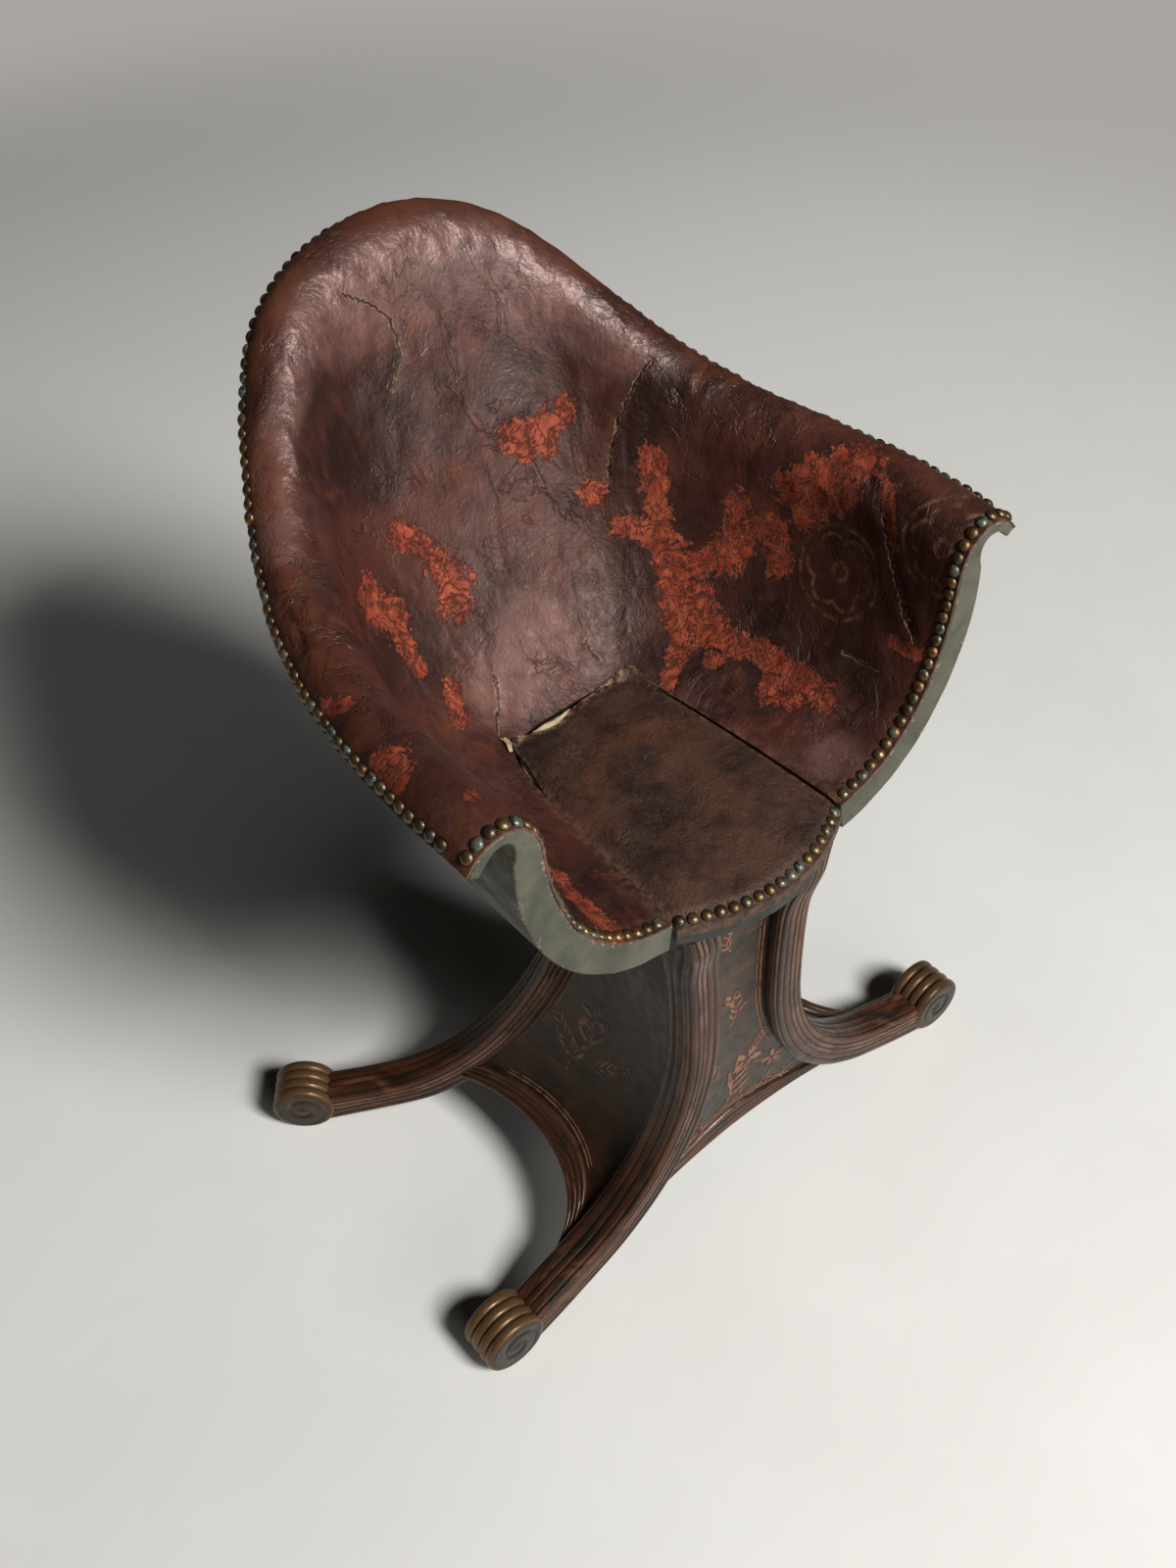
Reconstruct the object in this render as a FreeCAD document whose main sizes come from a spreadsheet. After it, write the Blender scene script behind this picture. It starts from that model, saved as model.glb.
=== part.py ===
import FreeCAD, Part
import math
import os
import Sketcher
from FreeCAD import Vector

# Gondola chair: a leather-lined scoop of painted staves on a four-legged lacquered pedestal.
# Millimetres, +Z up, the sitter faces -Y, the floor is z = 0.

doc = FreeCAD.newDocument("gondola_chair")
sheet = doc.addObject("Spreadsheet::Sheet", "Sizes")

sizes = {
    # feet and legs
    "foot_half_span": 270,
    "foot_front_y": -190,
    "foot_back_y": 131,
    "foot_radius": 30,
    "foot_flat": 1,
    "leg_width": 36,
    "leg_thick": 34,
    "scroll_eye_radius": 7,
    "scroll_eye_depth": 3,
    "scroll_neck_rise": 4,
    # pedestal column
    "column_half": 48,
    "column_front_y": -190,
    "column_back_y": -45,
    "column_flare": 10,
    "column_top": 412,
    "front_waist": 270,
    "back_waist": 300,
    "panel_thick": 12,
    "panel_hollow": 7,
    "front_arch_half": 190,
    "front_arch_top": 72,
    "side_arch_half": 128,
    "side_arch_top": 76,
    "side_arch_shift": 66,
    "back_arch_top": 90,
    # board on top of the column
    "board_thick": 20,
    "board_margin": 18,
    "board_corner": 34,
    "board_back_corner": 20,
    "dowel_radius": 5,
    "dowel_length": 36,
    "dowel_cover": 4,
    "block_side": 24,
    "block_height": 60,
    "block_clearance": 10,
    # seat opening and drop-in seat
    "seat_front_half": 86,
    "seat_back_half": 70,
    "seat_back_y": 20,
    "seat_front_y": -210,
    "seat_bow": 26,
    "seat_corner": 6,
    "seat_rounding": 34,
    "seat_gap": 3,
    "seat_lift_clearance": 0.4,
    "seat_board_thick": 14,
    "seat_pad_edge": 7,
    "seat_crown": 9,
    "leather_thick": 2,
    # scoop shell
    "arm_half": 251,
    "arm_height": 640,
    "arm_swell": 7,
    "arm_dip": 8,
    "wing_half": 180,
    "wing_y": 149,
    "wing_height": 695,
    "back_half": 102,
    "back_y": 239,
    "back_height": 800,
    "slope_arm": 8,
    "slope_back": 32,
    "spring_length": 66,
    "lip_reach_arm": 61,
    "lip_reach_back": 58,
    "lip_rise_arm": 18,
    "lip_rise_back": 34,
    "knee_lean_arm": 5,
    "knee_lean_back": 42,
    "knee_pull_arm": 90,
    "knee_pull_back": 150,
    "roll_lean_arm": 2,
    "roll_lean_back": 9,
    "roll_rise": 34,
    "roll_return": 23,
    "shell_thick": 30,
    "lip_thick": 12,
    "padding_thick": 5,
    "lip_padding_thick": 3,
    "cheek_share": 0.24,
    "wing_share": 0.68,
    # brass nails
    "nail_radius": 4.8,
    "nail_dome": 3.3,
    "nail_shank": 11,
    "nail_shank_radius": 0.9,
    "nail_point": 3,
    "nail_pitch": 10.4,
    "nail_inset": 6,
    # screws that hold the shell on the board
    "screw_radius": 2.2,
    "screw_length": 32,
    "screw_head_radius": 4.4,
    "screw_head": 3,
    "screw_inset": 8,
}

for row, (alias, number) in enumerate(sizes.items(), start=1):
    sheet.set("A%d" % row, alias)
    sheet.set("B%d" % row, str(number))
    sheet.setAlias("B%d" % row, alias)
doc.recompute()


def size(alias):
    return float(sheet.get(alias))


def lerp(a, b, share):
    return a + (b - a) * share


def smooth(share):
    share = min(max(share, 0.0), 1.0)
    return share * share * (3 - 2 * share)


def bezier(points, share):
    # Cubic curve through the first and last point, pulled by the two between.
    p0, p1, p2, p3 = points
    rest = 1 - share
    return p0 * rest**3 + p1 * (3 * rest**2 * share) + p2 * (3 * rest * share**2) + p3 * share**3


def polar(radius, degrees):
    angle = math.radians(degrees)
    return Vector(radius * math.cos(angle), radius * math.sin(angle), 0)


def clamped_spline(poles):
    # Cubic B-spline that starts and ends on its first and last pole.
    spans = len(poles) - 3
    curve = Part.BSplineCurve()
    curve.buildFromPolesMultsKnots(poles, [4] + [1] * (spans - 1) + [4],
                                   [knot / spans for knot in range(spans + 1)], False, 3)
    return curve


def mirrored(points):
    return [Vector(-p.x, p.y, p.z) for p in points]


def node(name, shape):
    piece = doc.addObject("Part::Feature", name)
    piece.Label = name
    piece.Shape = shape
    return piece


def surface(grid):
    patch = Part.BSplineSurface()
    patch.interpolate(grid)
    return patch


def section(front, back):
    # Closed outline between two rows of points that face each other.
    face = Part.BSplineCurve()
    face.interpolate(front)
    rear = Part.BSplineCurve()
    rear.interpolate(back[::-1])
    return Part.Wire([face.toShape(), Part.makeLine(front[-1], back[-1]), rear.toShape(),
                      Part.makeLine(back[0], front[0])])


def slab(fronts, backs, ruled=True):
    # Closed solid between two grids of points, one outline per row.
    return Part.makeLoft([section(front, back) for front, back in zip(fronts, backs)], True, ruled)


# Legs: sawn outlines, each in its own upright plane, ending in a scroll foot.

LEG_STEPS = 14
FOOT_NECK_ANGLE = 150
FOOT_CROWN_ANGLE = 35
TOP_SHARE = 0.3  # part of the leg's run that is the upright top
TOP_HANDLES = (0.4, 0.7)  # pull points of the upright, as shares of its height
FRONT_HANDLES = ((0.0, 0.59), (0.32, 0.22))  # pull points of the sweep: share of its reach, share of the waist
BACK_HANDLES = ((0.10, 0.63), (0.43, 0.09))
TANGENT_STEP = 0.01


def leg_path(front):
    # Centre line in the leg's plane: distance out from the column's corner, and height.
    waist = size("front_waist") if front else size("back_waist")
    reach = leg_run(front) - size("foot_radius")
    top = [Vector(size("column_flare"), size("column_top"), 0)]
    top += [Vector(0, lerp(size("column_top"), waist, share), 0) for share in TOP_HANDLES]
    top.append(Vector(0, waist, 0))
    handles = FRONT_HANDLES if front else BACK_HANDLES
    neck = size("foot_radius") + size("scroll_neck_rise")
    sweep = [top[3]] + [Vector(reach * out, waist * height, 0) for out, height in handles]
    sweep.append(Vector(reach, neck, 0))
    return top, sweep


def leg_frame(front, side):
    # Corner of the column and unit direction of the leg in plan.
    corner_y = size("column_front_y") if front else size("column_back_y")
    foot_y = size("foot_front_y") if front else size("foot_back_y")
    corner = Vector(side * size("column_half"), corner_y, 0)
    foot = Vector(side * size("foot_half_span"), foot_y, 0)
    return corner, (foot - corner).normalize()


def leg_run(front):
    corner_y = size("column_front_y") if front else size("column_back_y")
    foot_y = size("foot_front_y") if front else size("foot_back_y")
    return math.hypot(size("foot_half_span") - size("column_half"), foot_y - corner_y)


def leg_centre(front, share):
    # share 0 is the top of the leg and 1 is the neck of the scroll.
    top, sweep = leg_path(front)
    if share < TOP_SHARE:
        return bezier(top, share / TOP_SHARE)
    return bezier(sweep, (share - TOP_SHARE) / (1 - TOP_SHARE))


def leg_point(front, side, share):
    corner, along = leg_frame(front, side)
    flat = leg_centre(front, share)
    return corner + along * flat.x + Vector(0, 0, flat.y)


def leg_edges(front):
    outer = []
    inner = []
    half = size("leg_thick") / 2
    for step in range(LEG_STEPS + 1):
        share = step / LEG_STEPS
        here = leg_centre(front, share)
        ahead = leg_centre(front, min(share + TANGENT_STEP, 1.0))
        behind = leg_centre(front, max(share - TANGENT_STEP, 0.0))
        run = (ahead - behind).normalize()
        across = Vector(-run.y, run.x, 0)
        outer.append(here + across * half)
        inner.append(here - across * half)
    return outer, inner


def leg_solid(front, side):
    outer, inner = leg_edges(front)
    radius = size("foot_radius")
    centre = Vector(leg_run(front), radius - size("foot_flat"), 0)
    flat_half = math.sqrt(radius**2 - (radius - size("foot_flat"))**2)
    neck = centre + polar(radius, FOOT_NECK_ANGLE)
    crown = centre + polar(radius, FOOT_CROWN_ANGLE)
    floor_out = Vector(centre.x + flat_half, 0, 0)
    floor_in = Vector(centre.x - flat_half, 0, 0)
    outer[0].y = size("column_top")
    inner[0].y = size("column_top")
    upper = Part.BSplineCurve()
    upper.interpolate(outer[:-1] + [neck])
    lower = Part.BSplineCurve()
    lower.interpolate([floor_in] + inner[-3::-1])
    edges = [upper.toShape(), Part.Arc(neck, crown, floor_out).toShape(), Part.makeLine(floor_out, floor_in),
             lower.toShape(), Part.makeLine(inner[0], outer[0])]
    outline = Part.Face(Part.Wire(edges))
    width = size("leg_width")
    solid = outline.extrude(Vector(0, 0, width))
    eye = Part.makeCylinder(size("scroll_eye_radius"), size("scroll_eye_depth"))
    for depth in (0, width - size("scroll_eye_depth")):
        hollow = eye.copy()
        hollow.translate(centre + Vector(0, 0, depth))
        solid = solid.cut(hollow)
    corner, along = leg_frame(front, side)
    normal = along.cross(Vector(0, 0, 1))
    turn = FreeCAD.Matrix(along.x, 0, normal.x, corner.x - normal.x * width / 2,
                          along.y, 0, normal.y, corner.y - normal.y * width / 2,
                          0, 1, 0, 0, 0, 0, 0, 1)
    return solid.transformGeometry(turn) if turn.determinant() < 0 else solid.transformShape(turn, True)


sides = {"left": -1, "right": 1}
ends = {"front": True, "back": False}


# Dowels stand in the leg tops and reach into the board.

def bound(kind, name, **expressions):
    piece = doc.addObject(kind, name)
    for field, text in expressions.items():
        piece.setExpression(field.replace("_at_", "."), text)
    return piece


def place(piece, x, y, z):
    for axis, text in (("x", x), ("y", y), ("z", z)):
        piece.setExpression("Placement.Base." + axis, text)


dowels = []
blocks = []
for end in ends:
    for hand, sign in sides.items():
        dowel = bound("Part::Cylinder", "dowel_%s_%s" % (end, hand), Radius="Sizes.dowel_radius",
                      Height="Sizes.dowel_length")
        corner, along = leg_frame(ends[end], sign)
        reach = "Sizes.column_flare * %.6f" % along.y
        place(dowel, "%d * (Sizes.column_half + Sizes.column_flare * %.6f)" % (sign, abs(along.x)),
              "Sizes.column_%s_y + %s" % (end, reach),
              "Sizes.column_top + Sizes.board_thick - Sizes.dowel_length - Sizes.dowel_cover")
        dowels.append(dowel)
        block = bound("Part::Box", "block_%s_%s" % (end, hand), Length="Sizes.block_side",
                      Width="Sizes.block_side", Height="Sizes.block_height")
        inward = "Sizes.leg_width / 2 + Sizes.block_clearance"
        inward = "+ " + inward if ends[end] else "- (%s) - Sizes.block_side" % inward
        shift = "- Sizes.block_side" if sign > 0 else ""
        place(block, "%d * (Sizes.column_half - Sizes.leg_thick / 2) %s" % (sign, shift),
              "Sizes.column_%s_y %s" % (end, inward), "Sizes.column_top - Sizes.block_height")
        blocks.append(block)
leg_dowels = doc.addObject("Part::Compound", "leg_dowels")
leg_dowels.Links = dowels
corner_blocks = doc.addObject("Part::Compound", "corner_blocks")
corner_blocks.Links = blocks
doc.recompute()

legs = {}
for end, front in ends.items():
    for hand, sign in sides.items():
        legs[end, hand] = leg_solid(front, sign).cut(leg_dowels.Shape)
        node("leg_%s_%s" % (end, hand), legs[end, hand])


# Panels: hollow curved boards between neighbouring legs, arched at the bottom.

PANEL_START = -0.02
PANEL_END = 0.93
PANEL_ACROSS = 5
PANEL_DOWN = 14


def panel_row(first, second, share):
    # One level of the panel: a bowed strip from one leg's centre line to the next.
    spots = []
    for here in (share, share + TANGENT_STEP):
        spots.append([leg_point(ends[end], sides[hand], here) for end, hand in (first, second)])
    one, two = spots[0]
    down = (spots[1][0] + spots[1][1] - one - two) * 0.5
    outward = down.cross(two - one).normalize()
    half = size("panel_thick") / 2
    face = []
    rear = []
    for step in range(PANEL_ACROSS):
        across = step / (PANEL_ACROSS - 1)
        middle = one + (two - one) * across - outward * (size("panel_hollow") * 4 * across * (1 - across))
        face.append(middle + outward * half)
        rear.append(middle - outward * half)
    return face, rear


def arch_tool(centre, span, rise, through):
    # Elliptical opening cut under a panel.
    curve = Part.Ellipse(centre + span, centre + Vector(0, 0, rise), centre)
    opening = Part.Face(Part.Wire([curve.toShape()]))
    opening.translate(through * -1)
    return opening.extrude(through * 2)


def panel_solid(first, second, arch):
    rows = []
    for row in range(PANEL_DOWN):
        rows.append(panel_row(first, second, lerp(PANEL_START, PANEL_END, row / (PANEL_DOWN - 1))))
    blank = slab([row[0] for row in rows], [row[1] for row in rows], False)
    span = size("foot_half_span")
    above = Part.makeBox(2 * span, 2 * span, span, Vector(-span, -span, size("column_top")))
    trimmed = blank.cut(Part.makeCompound([above, arch])).cut(legs[first]).cut(legs[second])
    return max(trimmed.Solids, key=lambda solid: solid.Volume)


arch_base = size("foot_radius") - size("foot_flat")
side_middle = (size("column_front_y") + size("column_back_y")) / 2 + size("side_arch_shift")
back_middle = (size("column_back_y") + size("foot_back_y")) / 2
front_span = Vector(size("front_arch_half"), 0, 0)
front_arch = arch_tool(Vector(0, size("column_front_y"), arch_base), front_span, size("front_arch_top") - arch_base,
                       Vector(0, size("leg_width"), 0))
back_arch = arch_tool(Vector(0, back_middle, arch_base), front_span, size("back_arch_top") - arch_base,
                      Vector(0, size("foot_back_y") - size("column_back_y"), 0))
panel_plan = {
    "panel_front": (("front", "left"), ("front", "right"), front_arch),
    "panel_back": (("back", "right"), ("back", "left"), back_arch),
}
for hand, sign in sides.items():
    reach = size("foot_half_span") / 2
    arch = arch_tool(Vector(sign * (size("column_half") / 2 + reach), side_middle, arch_base),
                     Vector(0, size("side_arch_half"), 0), size("side_arch_top") - arch_base, Vector(reach, 0, 0))
    pair = (("front", "right"), ("back", "right")) if sign > 0 else (("back", "left"), ("front", "left"))
    panel_plan["panel_" + hand] = pair + (arch,)
for name, (first, second, arch) in panel_plan.items():
    node(name, panel_solid(first, second, arch))


# Scoop: one design surface from the seat's edge up the wall and over the lip, offset for each layer.

STATIONS = 12
WALL_STEPS = 8
LIP_STEPS = 6
LIP_TAPER_START = 0.45  # share of the profile where the wall starts to thin
LIP_TAPER_LENGTH = 0.4
board_top = size("column_top") + size("board_thick")


def seat_edge_curve():
    # Half of the seat opening in plan, from the front corner round to the middle of the back.
    front_half, back_half = size("seat_front_half"), size("seat_back_half")
    front_y, back_y = size("seat_front_y"), size("seat_back_y")
    corner = size("seat_corner")
    return clamped_spline([Vector(front_half, front_y, 0),
                           Vector(lerp(front_half, back_half, 0.13), lerp(front_y, back_y, 0.27), 0),
                           Vector(lerp(front_half, back_half, 0.6), lerp(front_y, back_y, 0.66), 0),
                           Vector(back_half, back_y - corner, 0), Vector(back_half * 0.55, back_y, 0),
                           Vector(0, back_y, 0)])


def rim_curve():
    # Half of the lip's outer edge, from the tip of the arm to the middle of the back.
    arm, front_y, height = size("arm_half"), size("seat_front_y"), size("arm_height")
    length = size("wing_y") - front_y
    return clamped_spline([Vector(arm, front_y, height),
                           Vector(arm + size("arm_swell"), front_y + length * 0.28, height + size("arm_swell")),
                           Vector(lerp(arm, size("wing_half"), 0.17), front_y + length * 0.67,
                                  height - size("arm_dip")),
                           Vector(size("wing_half"), size("wing_y"), size("wing_height")),
                           Vector(size("back_half"), size("back_y"), size("back_height")),
                           Vector(0, size("back_y"), size("back_height"))])


seat_edge = seat_edge_curve()
rim = rim_curve()


def arm_to_back(name, turn):
    # Size that changes from the front of the arm to the middle of the back.
    return lerp(size(name + "_arm"), size(name + "_back"), turn)


def wall_profile(share):
    # The wall from the seat edge (flat start) to the lip's end, as points with their outward normals.
    edge = seat_edge.value(share)
    lip = rim.value(share)
    out = Vector(lip.x - edge.x, lip.y - edge.y, 0)
    reach = out.Length
    out.normalize()
    turn = smooth(share)
    slope = math.radians(arm_to_back("slope", turn))
    start = Vector(0, board_top + size("shell_thick") * math.cos(slope), 0)
    end = Vector(reach, lip.z, 0)
    knee = end - Vector(arm_to_back("lip_reach", turn), arm_to_back("lip_rise", turn), 0)
    wall = [start, start + Vector(math.cos(slope), math.sin(slope), 0) * size("spring_length"),
            knee - Vector(arm_to_back("knee_lean", turn), arm_to_back("knee_pull", turn), 0), knee]
    roll = [knee, knee + Vector(arm_to_back("roll_lean", turn), size("roll_rise"), 0),
            end + Vector(-size("roll_return"), size("roll_rise"), 0), end]
    flat = [(wall, step / WALL_STEPS) for step in range(WALL_STEPS)]
    flat += [(roll, step / LIP_STEPS) for step in range(LIP_STEPS + 1)]
    points = []
    for curve, here in flat:
        run = bezier(curve, min(here + TANGENT_STEP, 1)) - bezier(curve, max(here - TANGENT_STEP, 0))
        run.normalize()
        spot = bezier(curve, here)
        points.append((edge, out, spot, Vector(run.y, -run.x, 0)))
    return points


def layer_depth(layer, share):
    # Depth of each layer's back below the leather's face, thinner towards the lip.
    taper = smooth((share - LIP_TAPER_START) / LIP_TAPER_LENGTH)
    total = lerp(size("shell_thick"), size("lip_thick"), taper)
    leather = size("leather_thick")
    padding = leather + lerp(size("padding_thick"), size("lip_padding_thick"), taper)
    return {"face": 0.0, "leather": leather, "padding": padding, "wood": total}[layer]


def layer_grid(layer):
    rows = []
    for station in range(STATIONS + 1):
        row = []
        profile = wall_profile(station / STATIONS)
        for step, (edge, out, spot, normal) in enumerate(profile):
            flat = spot + normal * layer_depth(layer, step / (len(profile) - 1))
            row.append(Vector(edge.x + out.x * flat.x, edge.y + out.y * flat.x, flat.y))
        rows.append(row)
    return [mirrored(row) for row in rows] + rows[-2::-1]


grids = {layer: layer_grid(layer) for layer in ("face", "leather", "padding", "wood")}

node("shell_leather", slab(grids["face"], grids["leather"]))
node("shell_padding", slab(grids["leather"], grids["padding"]))

cheek_station = round(size("cheek_share") * STATIONS)
wing_station = round(size("wing_share") * STATIONS)
last = 2 * STATIONS
staves = {
    "shell_cheek_left": (0, cheek_station),
    "shell_wing_left": (cheek_station, wing_station),
    "shell_back": (wing_station, last - wing_station),
    "shell_wing_right": (last - wing_station, last - cheek_station),
    "shell_cheek_right": (last - cheek_station, last),
}


for name, (first, second) in staves.items():
    node(name, slab(grids["padding"][first:second + 1], grids["wood"][first:second + 1]))


# Board on the column that carries the shell and the seat.

blank_body = doc.addObject("PartDesign::Body", "board_blank")
outline = blank_body.newObject("Sketcher::SketchObject", "board_outline")
floor_plane = [plane for plane in blank_body.Origin.OriginFeatures if plane.Role == "XY_Plane"][0]
outline.AttachmentSupport = (floor_plane, [""])
outline.MapMode = "FlatFace"
outline.setExpression("AttachmentOffset.Base.z", "Sizes.column_top")
front_line = "Sizes.column_front_y - Sizes.leg_width / 2"
front_half = "(Sizes.seat_front_half + Sizes.board_margin)"
back_half = "(Sizes.seat_back_half + Sizes.board_margin)"
back_line = "Sizes.seat_back_y + Sizes.board_margin"
corners = {
    "front_left": ("-(%s - Sizes.board_corner)" % front_half, front_line),
    "front_right": ("%s - Sizes.board_corner" % front_half, front_line),
    "side_right": (front_half, front_line + " + Sizes.board_corner"),
    "rear_right": (back_half, back_line + " - Sizes.board_back_corner"),
    "back_right": (back_half + " - Sizes.board_back_corner", back_line),
    "back_left": ("-(%s - Sizes.board_back_corner)" % back_half, back_line),
    "rear_left": ("-" + back_half, back_line + " - Sizes.board_back_corner"),
    "side_left": ("-" + front_half, front_line + " + Sizes.board_corner"),
}
front_x = size("seat_front_half") + size("board_margin")
back_x = size("seat_back_half") + size("board_margin")
nose_x = front_x - size("board_corner")
nose_y = size("column_front_y") - size("leg_width") / 2
side_y = nose_y + size("board_corner")
rear_y = size("seat_back_y") + size("board_margin")
back_cut = size("board_back_corner")
right_half = [Vector(nose_x, nose_y, 0), Vector(front_x, side_y, 0), Vector(back_x, rear_y - back_cut, 0),
              Vector(back_x - back_cut, rear_y, 0)]
spots = mirrored(right_half[:1]) + right_half + mirrored(right_half[:0:-1])
for index, spot in enumerate(spots):
    outline.addGeometry(Part.LineSegment(spot, spots[(index + 1) % len(spots)]))
for index, (corner_name, (x_text, y_text)) in enumerate(corners.items()):
    outline.addConstraint(Sketcher.Constraint("Coincident", (index - 1) % len(spots), 2, index, 1))
    for axis, rule_text, value in (("X", x_text, spots[index].x), ("Y", y_text, spots[index].y)):
        rule = outline.addConstraint(Sketcher.Constraint("Distance" + axis, -1, 1, index, 1, value))
        outline.renameConstraint(rule, corner_name + "_" + axis.lower())
        outline.setExpression("Constraints.%s_%s" % (corner_name, axis.lower()), rule_text)
board = blank_body.newObject("PartDesign::Pad", "board_pad")
board.Profile = outline
board.setExpression("Length", "Sizes.board_thick")
top_board = doc.addObject("Part::Cut", "top_board")
top_board.Base = blank_body
top_board.Tool = leg_dowels


# Drop-in seat: board, crowned stuffing and leather, all on one outline.

SEAT_ACROSS = 11
SEAT_DEEP = 11


def seat_grid(height, crown):
    rows = []
    gap = size("seat_gap")
    for column in range(SEAT_ACROSS):
        across = 2 * column / (SEAT_ACROSS - 1) - 1
        back_y = size("seat_back_y") - gap - size("seat_rounding") * across**4
        front_y = size("seat_front_y") - size("seat_bow") * (1 - across**2) - gap
        row = []
        for step in range(SEAT_DEEP):
            depth = step / (SEAT_DEEP - 1)
            half = lerp(size("seat_front_half"), size("seat_back_half"), depth) - gap
            dome = (1 - across**4) * (1 - (2 * depth - 1)**4)
            row.append(Vector(across * half, lerp(front_y, back_y, depth), height + crown * dome))
        rows.append(row)
    return rows


seat_low = board_top + size("seat_lift_clearance")
seat_mid = seat_low + size("seat_board_thick")
seat_high = seat_mid + size("seat_pad_edge")
board_under = seat_grid(seat_low, 0)
board_over = seat_grid(seat_mid, 0)
pad_over = seat_grid(seat_high, size("seat_crown"))
seat_over = seat_grid(seat_high + size("leather_thick"), size("seat_crown"))
node("seat_board", slab(board_over, board_under))
node("seat_padding", slab(pad_over, board_over))
node("seat_leather", slab(seat_over, pad_over))


# Brass nails: a low dome with a shank, driven square to the leather.

def nail_blank():
    radius, dome = size("nail_radius"), size("nail_dome")
    ball = (radius**2 + dome**2) / (2 * dome)
    rise = ball - dome
    half_turn = math.acos(rise / ball) / 2
    middle = Vector(ball * math.sin(half_turn), 0, ball * math.cos(half_turn) - rise)
    shank, thin = size("nail_shank"), size("nail_shank_radius")
    point = shank - size("nail_point")
    edges = [Part.Arc(Vector(0, 0, dome), middle, Vector(radius, 0, 0)).toShape(),
             Part.makeLine(Vector(radius, 0, 0), Vector(thin, 0, 0)),
             Part.makeLine(Vector(thin, 0, 0), Vector(thin, 0, -point)),
             Part.makeLine(Vector(thin, 0, -point), Vector(0, 0, -shank)),
             Part.makeLine(Vector(0, 0, -shank), Vector(0, 0, dome))]
    return Part.Face(Part.Wire(edges)).revolve(Vector(0, 0, 0), Vector(0, 0, 1), 360)


blank = nail_blank()


def nail_at(spot, normal):
    nail = blank.copy()
    nail.Placement = FreeCAD.Placement(spot, FreeCAD.Rotation(Vector(0, 0, 1), normal))
    return nail


def nail_row(patch, edge, heads_towards):
    # Evenly spaced nails along an edge of the leather, half a pitch short of both ends.
    count = max(2, round(edge.Length / size("nail_pitch")))
    nails = []
    for spot in edge.discretize(Number=2 * count + 1)[1::2]:
        normal = patch.normal(*patch.parameter(spot))
        if normal.dot(heads_towards(spot)) < 0:
            normal = normal * -1
        nails.append(nail_at(spot, normal))
    return Part.makeCompound(nails)


face = surface(grids["face"])
u0, u1, v0, v1 = face.bounds()
edge_u = (u1 - u0) * size("nail_inset") / face.vIso(v1).toShape().Length
edge_v = (v1 - v0) * size("nail_inset") / face.uIso(u0).toShape().Length
inside = Vector(0, size("seat_front_y") / 2, size("back_height"))


def outside(spot):
    return Vector(spot.x, spot.y - size("seat_front_y") / 2, size("arm_height") / 4)


def into_scoop(spot):
    return inside - spot


def upward(spot):
    return Vector(0, 0, 1)


node("rim_nails", nail_row(face, face.vIso(v1 - edge_v).toShape(u0 + edge_u, u1 - edge_u), outside))
node("left_edge_nails", nail_row(face, face.uIso(u0 + edge_u).toShape(v0, v1 - edge_v), into_scoop))
node("right_edge_nails", nail_row(face, face.uIso(u1 - edge_u).toShape(v0, v1 - edge_v), into_scoop))
seat_face = surface(seat_over)
s0, s1, t0, t1 = seat_face.bounds()
seat_depth = seat_face.uIso((s0 + s1) / 2).toShape().Length
nail_line = t0 + (t1 - t0) * size("nail_inset") / seat_depth
node("seat_front_nails", nail_row(seat_face, seat_face.vIso(nail_line).toShape(), upward))


# Wood screws up through the board into the lower edges of the staves.

SCREW_SHARES = (0.16, 0.4, 0.6, 0.86)


def screw_at(spot):
    stem = Part.makeCylinder(size("screw_radius"), size("screw_length"), spot)
    head = Part.makeCone(size("screw_head_radius"), size("screw_radius"), size("screw_head"), spot)
    return stem.fuse(head)


screws = []
for share in SCREW_SHARES:
    edge, out, start, normal = wall_profile(share)[0]
    spot = edge + out * size("screw_inset")
    for sign in sides.values():
        screws.append(screw_at(Vector(sign * spot.x, spot.y, size("column_top"))))
node("shell_screws", Part.makeCompound(screws))


doc.recompute()
failed = [piece.Label for piece in doc.Objects if "Invalid" in piece.State or "Error" in piece.State]
if failed:
    raise RuntimeError("failed pieces: %s" % failed)

parts = [piece for piece in doc.Objects if piece.TypeId == "Part::Feature"]
parts += [leg_dowels, corner_blocks, top_board]
os.makedirs("parts", exist_ok=True)
bad = [piece.Label for piece in parts if piece.Shape.isNull() or not piece.Shape.isValid()]
if bad:
    raise RuntimeError("bad shapes: %s" % bad)
for piece in parts:
    piece.Shape.exportStep("parts/%s.step" % piece.Label)
    box = piece.Shape.BoundBox
    print("%-20s solids %3d volume %10.0f  x %6.1f %6.1f  y %6.1f %6.1f  z %6.1f %6.1f" % (
        piece.Label, len(piece.Shape.Solids), piece.Shape.Volume, box.XMin, box.XMax, box.YMin, box.YMax,
        box.ZMin, box.ZMax))
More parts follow.
